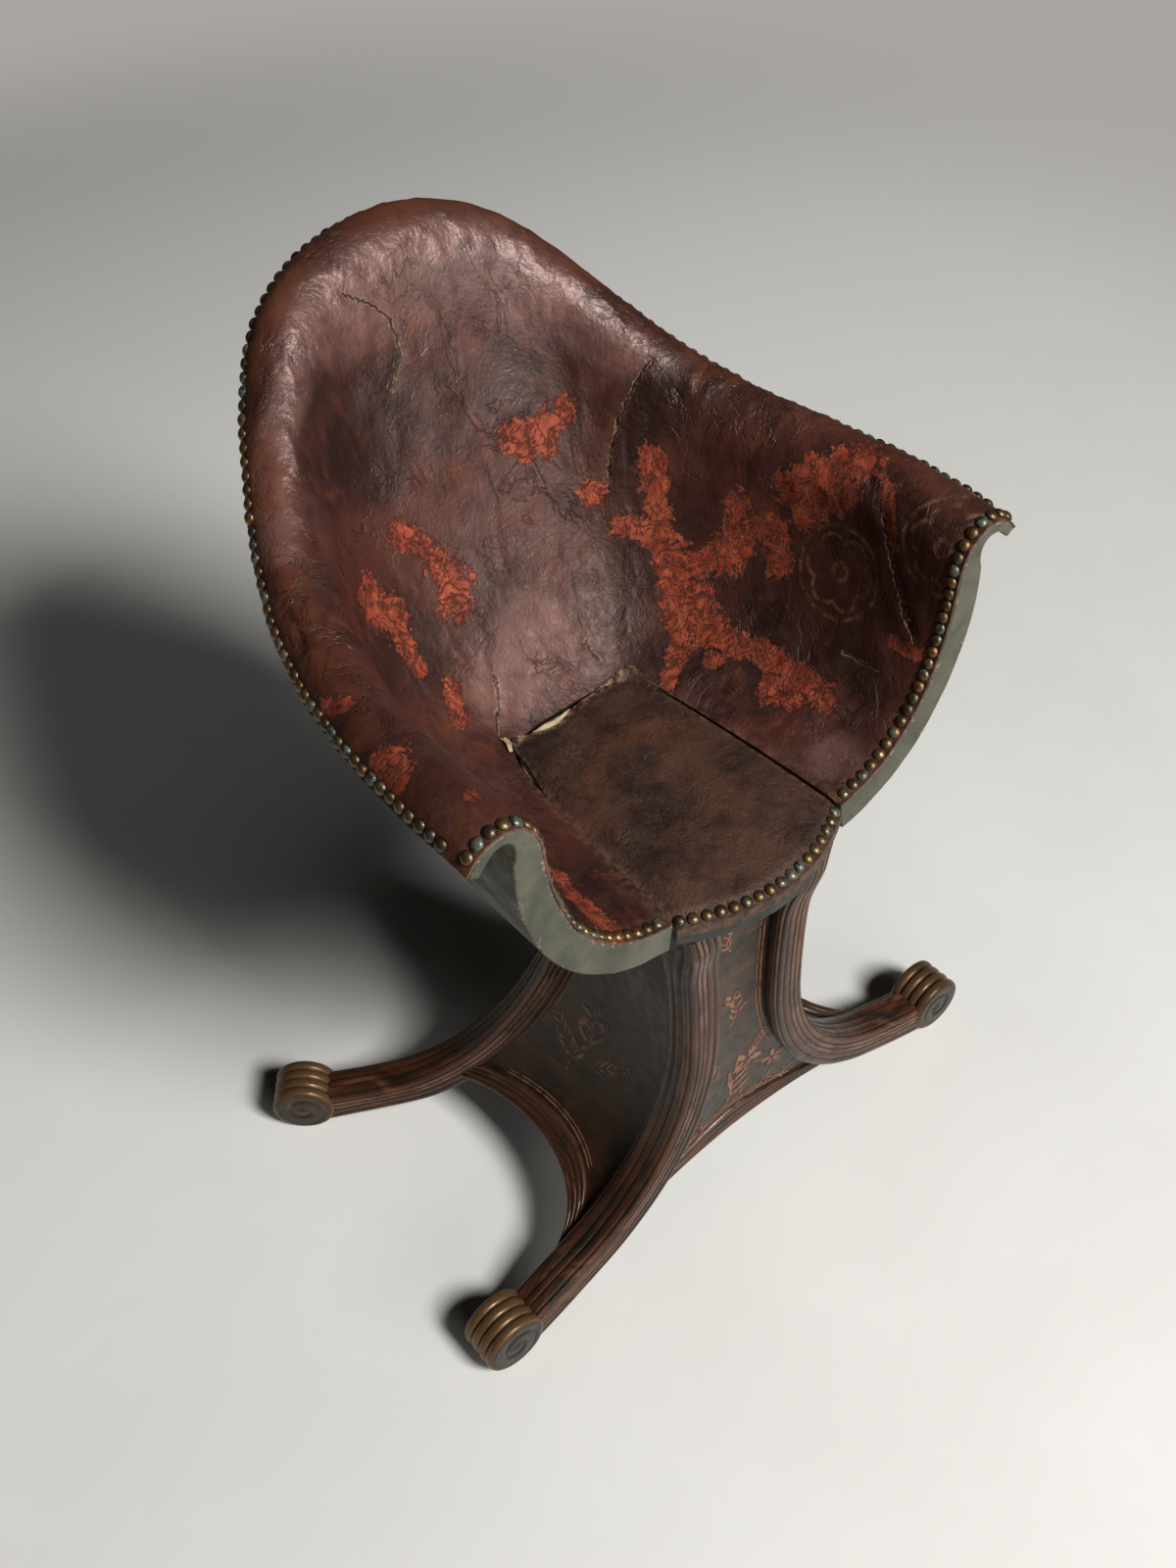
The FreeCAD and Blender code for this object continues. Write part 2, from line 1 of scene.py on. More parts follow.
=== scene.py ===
import bpy
import math
import numpy as np
from mathutils import Matrix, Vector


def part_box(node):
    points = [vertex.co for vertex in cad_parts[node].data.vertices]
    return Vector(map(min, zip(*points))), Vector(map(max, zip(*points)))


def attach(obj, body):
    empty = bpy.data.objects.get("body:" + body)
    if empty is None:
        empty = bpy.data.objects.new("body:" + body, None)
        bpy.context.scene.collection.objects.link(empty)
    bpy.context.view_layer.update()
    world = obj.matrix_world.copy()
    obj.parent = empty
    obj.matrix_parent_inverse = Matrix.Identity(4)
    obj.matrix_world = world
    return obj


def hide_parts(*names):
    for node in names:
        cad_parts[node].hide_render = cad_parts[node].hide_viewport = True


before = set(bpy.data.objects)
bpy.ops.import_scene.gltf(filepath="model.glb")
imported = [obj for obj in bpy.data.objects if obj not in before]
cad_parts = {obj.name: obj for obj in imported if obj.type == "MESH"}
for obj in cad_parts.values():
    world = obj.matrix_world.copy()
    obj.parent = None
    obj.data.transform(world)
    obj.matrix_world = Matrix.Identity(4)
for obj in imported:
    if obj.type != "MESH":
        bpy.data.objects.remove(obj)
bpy.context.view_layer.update()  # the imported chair, in metres, sitter facing -Y
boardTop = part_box("top_board")[1].z
print("frame loaded, seat board rests at", round(boardTop, 4))


# the camera as solved from the photo, and where a point of space falls in it

camera = {"place": (-0.5565, -0.7390, 1.3447), "azimuth": -37.22, "elevation": 46.14, "roll": -3.70,
          "lens": 36.0, "sensor": 36.0, "pixels": (1200, 1600)}


def cameraAxes():  # right, up and forward of the view, from its azimuth, elevation and roll
    a, e, r = (math.radians(camera[key]) for key in ("azimuth", "elevation", "roll"))
    forward = np.array([-math.sin(a) * math.cos(e), math.cos(a) * math.cos(e), -math.sin(e)])
    level = np.array([math.cos(a), math.sin(a), 0])
    upright = np.cross(level, forward)
    right = math.cos(r) * level + math.sin(r) * upright
    up = -math.sin(r) * level + math.cos(r) * upright
    return right, up, forward


def photoSpot(points):  # pixel column and row of points, by the rule of a pinhole
    right, up, forward = cameraAxes()
    ray = points - np.array(camera["place"])
    wide, high = camera["pixels"]
    focal = camera["lens"] / camera["sensor"] * high / (ray @ forward)
    return np.stack([wide / 2 + focal * (ray @ right), high / 2 - focal * (ray @ up)], -1)


# small tools for curves and noise

farOff = 9.0  # metres, past any point of the chair
upward = np.array([0, 0, 1.0])


def lerp(a, b, share):  # straight blend from a to b
    return a + (b - a) * share


def smooth(share):  # eased step from 0 to 1
    share = np.clip(share, 0.0, 1.0)
    return share * share * (3 - 2 * share)


def unit(v):  # direction of length one
    return v / np.maximum(np.linalg.norm(v, axis=-1, keepdims=True), 1e-12)


def bell(offset, width):  # soft hump that falls away past its width
    return np.exp(-(offset / width)**2)


def beadRound(share):  # half circle over a share from 0 to 1, as high as it is half wide
    return np.sqrt(np.clip(1 - (2 * share - 1)**2, 0, 1))


def bezier(p, share):  # cubic from p[0] to p[3], pulled by p[1] and p[2]
    rest = 1 - share
    return p[0] * rest**3 + 3 * p[1] * rest**2 * share + 3 * p[2] * rest * share**2 + p[3] * share**3


def bezierRun(p, share):  # direction of the same curve
    rest = 1 - share
    return (p[1] - p[0]) * rest**2 + 2 * (p[2] - p[1]) * rest * share + (p[3] - p[2]) * share**2


def clampedSpline(poles, share):  # cubic B-spline that starts and ends on its first and last pole
    poles = np.asarray(poles, float)
    knots = np.concatenate([np.zeros(3), np.linspace(0, 1, len(poles) - 2), np.ones(3)])
    at = np.clip(share, 0, 1 - 1e-9)[..., None]
    weight = ((at >= knots[:-1]) & (at < knots[1:])).astype(float)
    for degree in (1, 2, 3):
        low = knots[degree:-1] - knots[:-degree - 1]
        high = knots[degree + 1:] - knots[1:-degree]
        rising = np.where(low > 0, (at - knots[:-degree - 1]) / np.where(low > 0, low, 1), 0)
        falling = np.where(high > 0, (knots[degree + 1:] - at) / np.where(high > 0, high, 1), 0)
        weight = rising * weight[..., :-1] + falling * weight[..., 1:]
    return weight @ poles


def throughPoints(points, count):  # smooth curve through the points, at count even steps
    points = np.asarray(points, float)
    ends = np.concatenate([[2 * points[0] - points[1]], points, [2 * points[-1] - points[-2]]])
    at = np.linspace(0, len(points) - 1, count)
    k = np.minimum(at.astype(int), len(points) - 2)
    t = (at - k)[:, None]
    a, b, c, d = ends[k], ends[k + 1], ends[k + 2], ends[k + 3]
    return 0.5 * (2 * b + (c - a) * t + (2 * a - 5 * b + 4 * c - d) * t**2 + (3 * b - a - 3 * c + d) * t**3)


def alongLine(at, length, line):  # points of a line at given distances along it
    return np.stack([np.interp(at, length, line[:, k]) for k in range(line.shape[1])], -1)


def evenedOut(values, reach):  # running mean over reach values to either side
    width = 2 * reach + 1
    return np.convolve(np.pad(values, reach, "edge"), np.ones(width) / width, "valid")


noiseKeys = {"primes": (73856093, 19349663, 83492791), "seedStep": 7919,
             "mixers": ((13, 1274126177), (11, 668265263)), "bits": 0x7fffffff}


def softNoise(points, seed):  # smooth lattice noise in space, from -1 to 1
    cell = np.floor(points).astype(np.int64)
    part = points - cell
    part = smooth(part)
    total = 0.0
    for corner in range(8):
        step = np.array([corner & 1, corner >> 1 & 1, corner >> 2 & 1])
        key = ((cell + step) * np.array(noiseKeys["primes"])).sum(-1) + seed * noiseKeys["seedStep"]
        for shift, mixer in noiseKeys["mixers"]:
            key = ((key ^ (key >> shift)) * mixer) & noiseKeys["bits"]
        weight = np.where(step, part, 1 - part).prod(-1)
        total = total + ((key >> 8 & 0xffff) / 32767.5 - 1) * weight  # sixteen bits of the key, as -1 to 1
    return total


def layeredNoise(points, size, layers, seed):  # octaves of noise, the largest of the given size in metres
    total = 0.0
    for layer in range(layers):
        total = total + softNoise(points / size * 2**layer, seed + layer) * 0.5**layer
    return total


def runLength(points, axis):  # distance along one direction of a grid, from its first row
    step = np.linalg.norm(np.diff(points, axis=axis), axis=-1)
    zero = np.zeros_like(np.take(step, [0], axis))
    return np.concatenate([zero, np.cumsum(step, axis)], axis)


def gridNormal(grid):  # direction square to a grid of points
    return np.cross(np.gradient(grid, axis=0), np.gradient(grid, axis=1))


def nearest(points, path):  # distance from each point of a grid to a line of points
    flat = points.reshape(-1, 3).astype(np.float32)
    best = np.full(len(flat), farOff, np.float32)
    for spot in np.asarray(path, np.float32):
        best = np.minimum(best, ((flat - spot)**2).sum(1))
    return np.sqrt(best).reshape(points.shape[:-1])


# meshes from grids of points

def latticeSkin(points):  # the outer sides of a block of points (nu, nv, nw, 3), closed
    onSkin = np.zeros(points.shape[:3], bool)
    onSkin[[0, -1]] = True
    onSkin[:, [0, -1]] = True
    onSkin[:, :, [0, -1]] = True
    ids = np.full(onSkin.shape, -1)
    ids[onSkin] = np.arange(onSkin.sum())
    quads = []
    for axis in range(3):
        for end in (0, -1):
            side = np.take(ids, end, axis)
            quad = np.stack([side[:-1, :-1], side[1:, :-1], side[1:, 1:], side[:-1, 1:]], -1).reshape(-1, 4)
            quads.append(quad[:, ::-1] if (end == 0) != (axis == 1) else quad)
    return points[onSkin], [np.concatenate(quads)], onSkin


def doubled(field, onSkin):  # a field of a face, given to both faces of a two-layer block
    return np.repeat(field[..., None], 2, 2)[onSkin]


def tubeSkin(points):  # rings of points (n, m, 3), closed round and capped at both ends
    n, m = points.shape[:2]
    ids = np.arange(n * m).reshape(n, m)
    nextIds = np.roll(ids, -1, 1)
    quads = np.stack([ids[:-1], ids[1:], nextIds[1:], nextIds[:-1]], -1).reshape(-1, 4)
    capA = np.stack([ids[0], nextIds[0], np.full(m, n * m)], -1)
    capB = np.stack([nextIds[-1], ids[-1], np.full(m, n * m + 1)], -1)
    middles = np.stack([points[0].mean(0), points[-1].mean(0)])
    return np.concatenate([points.reshape(-1, 3), middles]), [quads, np.concatenate([capA, capB])]


def joined(parts):  # several (points, faces, fields) as one
    points, faces, fields, start = [], [], {}, 0
    for spots, polys, marks in parts:
        points.append(spots)
        faces += [poly + start for poly in polys]
        start += len(spots)
        for key, value in marks.items():
            fields.setdefault(key, []).append(np.broadcast_to(value, len(spots)))
    return np.concatenate(points), faces, {key: np.concatenate(value) for key, value in fields.items()}


def signedVolume(points, faces):  # six times the volume: triple products over fans of triangles
    total = 0.0
    for poly in faces:
        for k in range(1, poly.shape[1] - 1):
            a, b, c = points[poly[:, 0]], points[poly[:, k]], points[poly[:, k + 1]]
            total += (np.cross(a, b) * c).sum()
    return total


def makePiece(name, points, faces, fields=None, body="chair", sharp=38):  # closed mesh, faces outwards
    if signedVolume(points, faces) < 0:
        faces = [poly[:, ::-1] for poly in faces]
    mesh = bpy.data.meshes.new(name)
    loops = np.concatenate([poly.ravel() for poly in faces]).astype(np.int32)
    totals = np.concatenate([np.full(len(poly), poly.shape[1]) for poly in faces])
    mesh.vertices.add(len(points))
    mesh.vertices.foreach_set("co", points.astype(np.float32).ravel())
    mesh.loops.add(len(loops))
    mesh.loops.foreach_set("vertex_index", loops)
    mesh.polygons.add(len(totals))
    mesh.polygons.foreach_set("loop_start", (np.cumsum(totals) - totals).astype(np.int32))
    mesh.polygons.foreach_set("use_smooth", np.ones(len(totals), bool))
    mesh.update(calc_edges=True)
    mesh.validate()
    for key, value in (fields or {}).items():
        mark = mesh.attributes.new(key, "FLOAT", "POINT")
        mark.data.foreach_set("value", np.asarray(value, np.float32).ravel())
    mesh.set_sharp_from_angle(angle=math.radians(sharp))
    piece = bpy.data.objects.new(name, mesh)
    bpy.context.collection.objects.link(piece)
    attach(piece, body)
    return piece


def dress(piece, material, slot, *nodes):  # finish, and hide the CAD nodes that the piece stands for; slot is not used
    piece.data.materials.append(material)
    if nodes:
        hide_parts(*nodes)
    return piece


softEdge = {"segments": 2, "angle": 50}


def softenEdges(piece, width):  # a narrow bevel along the sharp edges of a board
    bevel = piece.modifiers.new("softEdge", "BEVEL")
    bevel.width = width
    bevel.segments = softEdge["segments"]
    bevel.limit_method = "ANGLE"
    bevel.angle_limit = math.radians(softEdge["angle"])


# shader tools: every effect that two finishes share is a group

def addNode(tree, kind, wires=None, **settings):  # a node with its inputs wired or set
    node = tree.nodes.new(kind)
    for key, value in settings.items():
        setattr(node, key, value)
    for key, value in (wires or {}).items():
        if isinstance(value, bpy.types.NodeSocket):
            tree.links.new(value, node.inputs[key])
        else:
            node.inputs[key].default_value = value
    return node


def mathOf(tree, operation, *values):  # arithmetic on one to three values
    return addNode(tree, "ShaderNodeMath", dict(enumerate(values)), operation=operation).outputs[0]


def times(tree, a, b):  # product
    return mathOf(tree, "MULTIPLY", a, b)


def apart(tree, a, b):  # how far two values differ
    return mathOf(tree, "ABSOLUTE", mathOf(tree, "SUBTRACT", a, b))


def lengthOf(tree, x, y):  # root of the sum of squares
    return mathOf(tree, "SQRT", mathOf(tree, "ADD", times(tree, x, x), times(tree, y, y)))


def mixOf(tree, share, a, b):  # colour a, turning to b by a share
    return addNode(tree, "ShaderNodeMix", {"Factor": share, 6: a, 7: b}, data_type="RGBA").outputs[2]


def laidOver(tree, under, mask, over, share):  # one colour over another, by a share of a mask
    return mixOf(tree, times(tree, mask, share), under, over)


def noiseOf(tree, place, scale, detail=4.0, rough=0.55, twist=0.0):  # cloudy noise about a half
    wires = {"Vector": place, "Scale": scale, "Detail": detail, "Roughness": rough, "Distortion": twist}
    return addNode(tree, "ShaderNodeTexNoise", wires).outputs[0]


def swayOf(tree, place, width, *noise):  # noise as an offset to either side
    return mathOf(tree, "MULTIPLY_ADD", noiseOf(tree, place, *noise), width, -width / 2)


def stepOf(tree, value, low, high, toLow=0.0, toHigh=1.0):  # eased step of a value between two levels
    wires = {0: value, 1: low, 2: high, 3: toLow, 4: toHigh}
    return addNode(tree, "ShaderNodeMapRange", wires, interpolation_type="SMOOTHSTEP").outputs[0]


def lineOf(tree, value, core, edge):  # full below the core, gone past the edge
    return stepOf(tree, value, core, edge, 1.0, 0.0)


def patchesOf(tree, place, pattern, toLow=0.0):  # noise cut to soft patches between two of its levels
    levels, noise = pattern
    return stepOf(tree, noiseOf(tree, place, *noise), *levels, toLow)


def glossOf(tree, place, low, high, *noise):  # roughness that wanders from low to high
    return stepOf(tree, noiseOf(tree, place, *noise), 0.3, 0.7, low, high)


def fieldOf(tree, name):  # a mark that the mesh carries
    return addNode(tree, "ShaderNodeAttribute", attribute_name=name).outputs["Fac"]


def brokenField(tree, place, name, pattern, toLow=0.0):  # a mark of the mesh, broken up by patches
    return times(tree, fieldOf(tree, name), patchesOf(tree, place, pattern, toLow))


def placeOf(tree):  # place on the object
    return addNode(tree, "ShaderNodeTexCoord").outputs["Object"]


def drawnOut(tree, place, scale):  # a place whose patterns are drawn out along an axis
    return addNode(tree, "ShaderNodeMapping", {"Vector": place, "Scale": scale}).outputs[0]


def newGroup(name, inputs, outputs):  # empty group with its sockets
    group = bpy.data.node_groups.new(name, "ShaderNodeTree")
    for label, kind, value in inputs:
        socket = group.interface.new_socket(label, in_out="INPUT", socket_type="NodeSocket" + kind)
        if value is not None:
            socket.default_value = value
    for label in outputs:
        kind = "Color" if label == "Color" else "Float"
        group.interface.new_socket(label, in_out="OUTPUT", socket_type="NodeSocket" + kind)
    source = group.nodes.new("NodeGroupInput").outputs
    target = group.nodes.new("NodeGroupOutput").inputs
    return group, source, target


def useGroup(tree, group, wires):  # a group placed in a material
    return addNode(tree, "ShaderNodeGroup", wires, node_tree=group).outputs


def mottleGroup():  # two colours in soft blotches
    inputs = [("Place", "Vector", None), ("Scale", "Float", 10.0), ("Low", "Float", 0.35),
              ("High", "Float", 0.65), ("Dark", "Color", None), ("Light", "Color", None)]
    group, source, target = newGroup("mottle", inputs, ["Color"])
    cloud = noiseOf(group, source["Place"], source["Scale"], 6.0, 0.62, 0.4)
    mask = stepOf(group, cloud, source["Low"], source["High"])
    group.links.new(mixOf(group, mask, source["Dark"], source["Light"]), target["Color"])
    return group


flakeLook = {"fine": 0.8, "rimFrom": 0.38, "from": 0.47, "full": 0.55}


def flakeGroup():  # ragged patches where a field passes a half, with a thin rim
    look = flakeLook
    inputs = [("Place", "Vector", None), ("Field", "Float", 0.0), ("Coarse", "Float", 60.0),
              ("Fine", "Float", 260.0), ("Ragged", "Float", 2.3)]
    group, source, target = newGroup("flake", inputs, ["Mask", "Rim"])
    coarse = noiseOf(group, source["Place"], source["Coarse"], 6.0, 0.7, 1.2)
    coarse = times(group, mathOf(group, "SUBTRACT", coarse, 0.5), source["Ragged"])
    fine = swayOf(group, source["Place"], look["fine"], source["Fine"], 4.0, 0.6)
    field = mathOf(group, "ADD", mathOf(group, "ADD", source["Field"], coarse), fine)
    mask = stepOf(group, field, look["from"], look["full"])
    rim = mathOf(group, "SUBTRACT", stepOf(group, field, look["rimFrom"], look["from"]), mask)
    group.links.new(mask, target["Mask"])
    group.links.new(rim, target["Rim"])
    return group


hideRelief = {"drawn": (1.0, 1.0, 0.5), "pebble": 0.55, "lump": 0.8, "wrinkle": 0.6, "crease": -0.55,
              "creaseWidth": 0.03, "creasedAt": ((0.44, 0.62), (13.0, 3.0))}


def hideGroup():  # relief of old leather: pebble, soft lumps and wrinkles, less its fine creases
    look = hideRelief
    inputs = [("Place", "Vector", None), ("Pebble", "Float", 320.0), ("Fold", "Float", 34.0)]
    group, source, target = newGroup("hide", inputs, ["Height", "Crease"])
    drawn = drawnOut(group, source["Place"], look["drawn"])
    pebble = times(group, noiseOf(group, source["Place"], source["Pebble"], 3.0, 0.5), look["pebble"])
    lump = times(group, noiseOf(group, drawn, 62.0, 4.0, 0.55, 0.7), look["lump"])
    wrinkle = times(group, noiseOf(group, drawn, 170.0, 5.0, 0.62, 0.8), look["wrinkle"])
    soft = mathOf(group, "ADD", lump, wrinkle)
    line = apart(group, noiseOf(group, drawn, source["Fold"], 5.0, 0.6, 1.2), 0.5)
    some = patchesOf(group, source["Place"], look["creasedAt"])
    crease = times(group, lineOf(group, line, 0.0, look["creaseWidth"]), some)
    height = mathOf(group, "ADD", mathOf(group, "ADD", pebble, soft), times(group, crease, look["crease"]))
    group.links.new(height, target["Height"])
    group.links.new(crease, target["Crease"])
    return group


tooledRings = {"petals": 6, "ring": 0.0125, "reach": 0.0185, "line": 0.0015, "hub": 0.0070, "rim": 0.0375,
               "soft": (0.5, 1.6)}


def rosetteGroup():  # rings of a tooled rosette, from a flat place in metres
    look = tooledRings
    group, source, target = newGroup("rosette", [("Across", "Float", 0.0), ("Up", "Float", 0.0)], ["Mask"])
    radius = lengthOf(group, source["Across"], source["Up"])
    turn = mathOf(group, "ARCTAN2", source["Up"], source["Across"])
    fold = mathOf(group, "PINGPONG", turn, math.pi / look["petals"])
    x = mathOf(group, "SUBTRACT", times(group, radius, mathOf(group, "COSINE", fold)), look["reach"])
    y = times(group, radius, mathOf(group, "SINE", fold))
    offPetal = apart(group, lengthOf(group, x, y), look["ring"])
    offHub = apart(group, radius, look["hub"])
    offRim = apart(group, radius, look["rim"])
    near = mathOf(group, "MINIMUM", mathOf(group, "MINIMUM", offPetal, offHub), offRim)
    core, edge = (look["line"] * part for part in look["soft"])
    group.links.new(lineOf(group, near, core, edge), target["Mask"])
    return group


mottle, flake, hide, rosette = mottleGroup(), flakeGroup(), hideGroup(), rosetteGroup()


def mottled(tree, place, scale, low, high, dark, light):  # colour of the blotches
    return useGroup(tree, mottle, {"Place": place, "Scale": scale, "Low": low, "High": high, "Dark": dark,
                                   "Light": light})["Color"]


def newMaterial(name):  # material with its node tree, shader and the place on the object
    material = bpy.data.materials.new(name)
    material.use_nodes = True
    tree = material.node_tree
    return material, tree, tree.nodes["Principled BSDF"], placeOf(tree)


def relief(tree, shader, height, strength, distance):  # height as a bump of the shader's normal
    bump = addNode(tree, "ShaderNodeBump", {"Height": height, "Strength": strength, "Distance": distance})
    tree.links.new(bump.outputs[0], shader.inputs["Normal"])


def setSheen(shader, level, tint):  # strength and colour of the mirrored light
    shader.inputs["Specular IOR Level"].default_value = level
    shader.inputs["Specular Tint"].default_value = tint


def colour(r, g, b):  # linear colour, opaque
    return (r, g, b, 1.0)


# in each look: colours, then patterns as the noise's low and high level with its scale, detail,
# roughness and twist

hideLook = {  # burgundy leather of the scoop
    "deep": colour(0.015, 0.0062, 0.0054), "body": colour(0.066, 0.0205, 0.0135),
    "plum": colour(0.074, 0.034, 0.031), "chestnut": colour(0.118, 0.036, 0.014),
    "crease": colour(0.012, 0.006, 0.005), "red": colour(0.195, 0.0265, 0.0098),
    "paleRed": colour(0.330, 0.068, 0.028), "tan": colour(0.33, 0.20, 0.105),
    "gap": colour(0.010, 0.006, 0.005), "tooling": colour(0.150, 0.076, 0.033),
    "burnt": colour(0.088, 0.0150, 0.0065), "sheen": colour(1.0, 0.71, 0.62),
    "bloomHighlight": colour(0.162, 0.080, 0.065),
    "bloomAt": ((0.46, 0.74), (22.0, 6.0, 0.62, 0.7)), "stainAt": ((0.5, 0.7), (48.0, 7.0, 0.68, 0.9)),
    "glowAt": ((0.54, 0.72), (30.0, 6.0, 0.65, 0.6)), "warmAt": ((0.3, 0.62), (16.0, 5.0)),
    "cloudAt": ((0.34, 0.62), (36.0, 6.0, 0.65, 0.6)), "speckAt": ((0.63, 0.70), (260.0, 4.0)),
    "burntAt": ((0.46, 0.64), (42.0, 6.0, 0.65, 0.8)), "rubAt": ((0.42, 0.62), (120.0, 4.0)),
    "toolAt": ((0.40, 0.62), (105.0, 6.0, 0.65)), "polishAt": ((0.25, 0.6), (40.0, 5.0)),
    "hung": (1.0, 1.0, 0.3), "fissure": (0.007, 0.046), "splitWander": 0.0080, "splitRagged": 0.0040,
    "splitLip": (0.0004, 0.0017), "splitGap": (0.0004, 0.0011), "gloss": (0.26, 0.44), "sheenLevel": 0.46,
    "dullness": 0.15, "polishGloss": -0.17, "wornGloss": 0.3, "coat": 0.22, "coatRoughness": 0.40,
    "wornDepth": 0.45, "gapDepth": 1.2, "speckDepth": 0.6, "relief": (0.7, 0.0013),
}


def scoopHide():  # layers, from the mottled hide up: stains, pale bloom that is partly painted highlight, dark patches that are partly painted shade, creases darkened by grime and painted shade, wear to the red, splits with a painted shadow in their gap, rubbed edges, tooling
    look = hideLook
    material, tree, shader, place = newMaterial("burgundyHide")
    tint = mottled(tree, place, 9.0, 0.34, 0.66, look["deep"], look["body"])
    tint = laidOver(tree, tint, patchesOf(tree, place, look["bloomAt"]), look["plum"], 0.55)
    hung = drawnOut(tree, place, look["hung"])
    tint = laidOver(tree, tint, patchesOf(tree, hung, look["stainAt"]), look["deep"], 0.75)
    tint = laidOver(tree, tint, patchesOf(tree, hung, look["glowAt"]), look["chestnut"], 0.6)
    tint = laidOver(tree, tint, brokenField(tree, place, "warm", look["warmAt"]), look["chestnut"], 0.8)
    cloud = patchesOf(tree, place, look["cloudAt"], 0.35)
    # partly wax bloom and partly painted highlight: a pale haze laid where the leather shines
    tint = laidOver(tree, tint, times(tree, fieldOf(tree, "bloomHighlight"), cloud), look["bloomHighlight"], 0.6)
    # partly stain and partly painted shade: dark patches laid where the leather looks darker
    tint = laidOver(tree, tint, times(tree, fieldOf(tree, "stainShade"), cloud), look["deep"], 0.8)
    skin = useGroup(tree, hide, {"Place": place, "Pebble": 300.0, "Fold": 30.0})
    # creases darkened: grime in them and painted shade
    tint = laidOver(tree, tint, skin["Crease"], look["crease"], 0.55)
    worn = useGroup(tree, flake, {"Place": place, "Field": fieldOf(tree, "scuff"), "Coarse": 55.0,
                                  "Fine": 240.0, "Ragged": 1.8})
    red = mottled(tree, place, 75.0, 0.35, 0.7, look["red"], look["paleRed"])
    fissure = apart(tree, noiseOf(tree, place, 58.0, 6.0, 0.66, 1.8), 0.5)
    specks = mathOf(tree, "MAXIMUM", patchesOf(tree, place, look["speckAt"]),
                    lineOf(tree, fissure, *look["fissure"]))
    red = laidOver(tree, red, patchesOf(tree, place, look["burntAt"]), look["burnt"], 0.68)
    red = laidOver(tree, red, specks, look["crease"], 0.82)
    tint = laidOver(tree, tint, worn["Rim"], look["crease"], 0.6)
    tint = mixOf(tree, worn["Mask"], tint, red)
    wander = swayOf(tree, place, look["splitWander"], 55.0, 5.0)
    aside = mathOf(tree, "ABSOLUTE", mathOf(tree, "ADD", fieldOf(tree, "splitSide"), wander))
    split = mathOf(tree, "MAXIMUM", aside, times(tree, fieldOf(tree, "splitReach"), 0.5))
    ragged = mathOf(tree, "ADD", split, swayOf(tree, place, look["splitRagged"], 260.0, 4.0))
    splitLip = lineOf(tree, ragged, *look["splitLip"])
    gap = lineOf(tree, split, *look["splitGap"])
    tint = laidOver(tree, tint, splitLip, look["tan"], 0.7)
    # painted shadow: the split's opening coloured near black
    tint = mixOf(tree, gap, tint, look["gap"])
    tint = laidOver(tree, tint, brokenField(tree, place, "rub", look["rubAt"]), look["tan"], 0.16)
    tooled = useGroup(tree, rosette, {"Across": fieldOf(tree, "toolX"), "Up": fieldOf(tree, "toolY")})
    faded = times(tree, tooled["Mask"], patchesOf(tree, place, look["toolAt"]))
    tint = laidOver(tree, tint, faded, look["tooling"], 0.8)
    tree.links.new(tint, shader.inputs["Base Color"])
    gloss = glossOf(tree, place, *look["gloss"], 150.0, 6.0, 0.7)
    dull = mathOf(tree, "MULTIPLY_ADD", fieldOf(tree, "polish"), look["polishGloss"], look["dullness"])
    dull = mathOf(tree, "MAXIMUM", dull, times(tree, worn["Mask"], look["wornGloss"]))
    tree.links.new(mathOf(tree, "ADD", gloss, dull), shader.inputs["Roughness"])
    polish = brokenField(tree, place, "polish", look["polishAt"], 0.5)
    polish = times(tree, polish, mathOf(tree, "SUBTRACT", 1.0, worn["Mask"]))
    tree.links.new(times(tree, polish, look["coat"]), shader.inputs["Coat Weight"])
    shader.inputs["Coat Roughness"].default_value = look["coatRoughness"]
    height = mathOf(tree, "SUBTRACT", skin["Height"], times(tree, worn["Mask"], look["wornDepth"]))
    height = mathOf(tree, "SUBTRACT", height, times(tree, gap, look["gapDepth"]))
    pits = times(tree, times(tree, specks, worn["Mask"]), look["speckDepth"])
    relief(tree, shader, mathOf(tree, "SUBTRACT", height, pits), *look["relief"])
    setSheen(shader, look["sheenLevel"], look["sheen"])
    return material


seatLook = {  # browner leather of the lift-out seat
    "deep": colour(0.020, 0.0105, 0.0080), "body": colour(0.060, 0.029, 0.019),
    "dust": colour(0.165, 0.112, 0.088), "ember": colour(0.105, 0.038, 0.019),
    "sheen": colour(1.0, 0.82, 0.70), "crease": colour(0.013, 0.008, 0.007),
    "tan": colour(0.34, 0.22, 0.13),
    "emberAt": ((0.5, 0.72), (11.0, 5.0, 0.6, 0.5)), "dustAt": ((0.55, 0.8), (210.0, 6.0, 0.7)),
    "rubAt": ((0.40, 0.6), (150.0, 4.0)), "gloss": (0.46, 0.66), "sheenLevel": 0.36,
    "relief": (0.7, 0.0018),
}


def seatHide():  # layers, from the mottled hide up: embers, dust, creases darkened by grime and painted shade, rubbed edges
    look = seatLook
    material, tree, shader, place = newMaterial("brownHide")
    tint = mottled(tree, place, 18.0, 0.36, 0.64, look["deep"], look["body"])
    tint = laidOver(tree, tint, patchesOf(tree, place, look["emberAt"]), look["ember"], 0.7)
    tint = laidOver(tree, tint, patchesOf(tree, place, look["dustAt"]), look["dust"], 0.42)
    skin = useGroup(tree, hide, {"Place": place, "Pebble": 380.0, "Fold": 52.0})
    # creases darkened: grime in them and painted shade
    tint = laidOver(tree, tint, skin["Crease"], look["crease"], 0.5)
    tint = laidOver(tree, tint, brokenField(tree, place, "rub", look["rubAt"]), look["tan"], 0.7)
    tree.links.new(tint, shader.inputs["Base Color"])
    tree.links.new(glossOf(tree, place, *look["gloss"], 80.0, 5.0), shader.inputs["Roughness"])
    relief(tree, shader, skin["Height"], *look["relief"])
    setSheen(shader, look["sheenLevel"], look["sheen"])
    return material


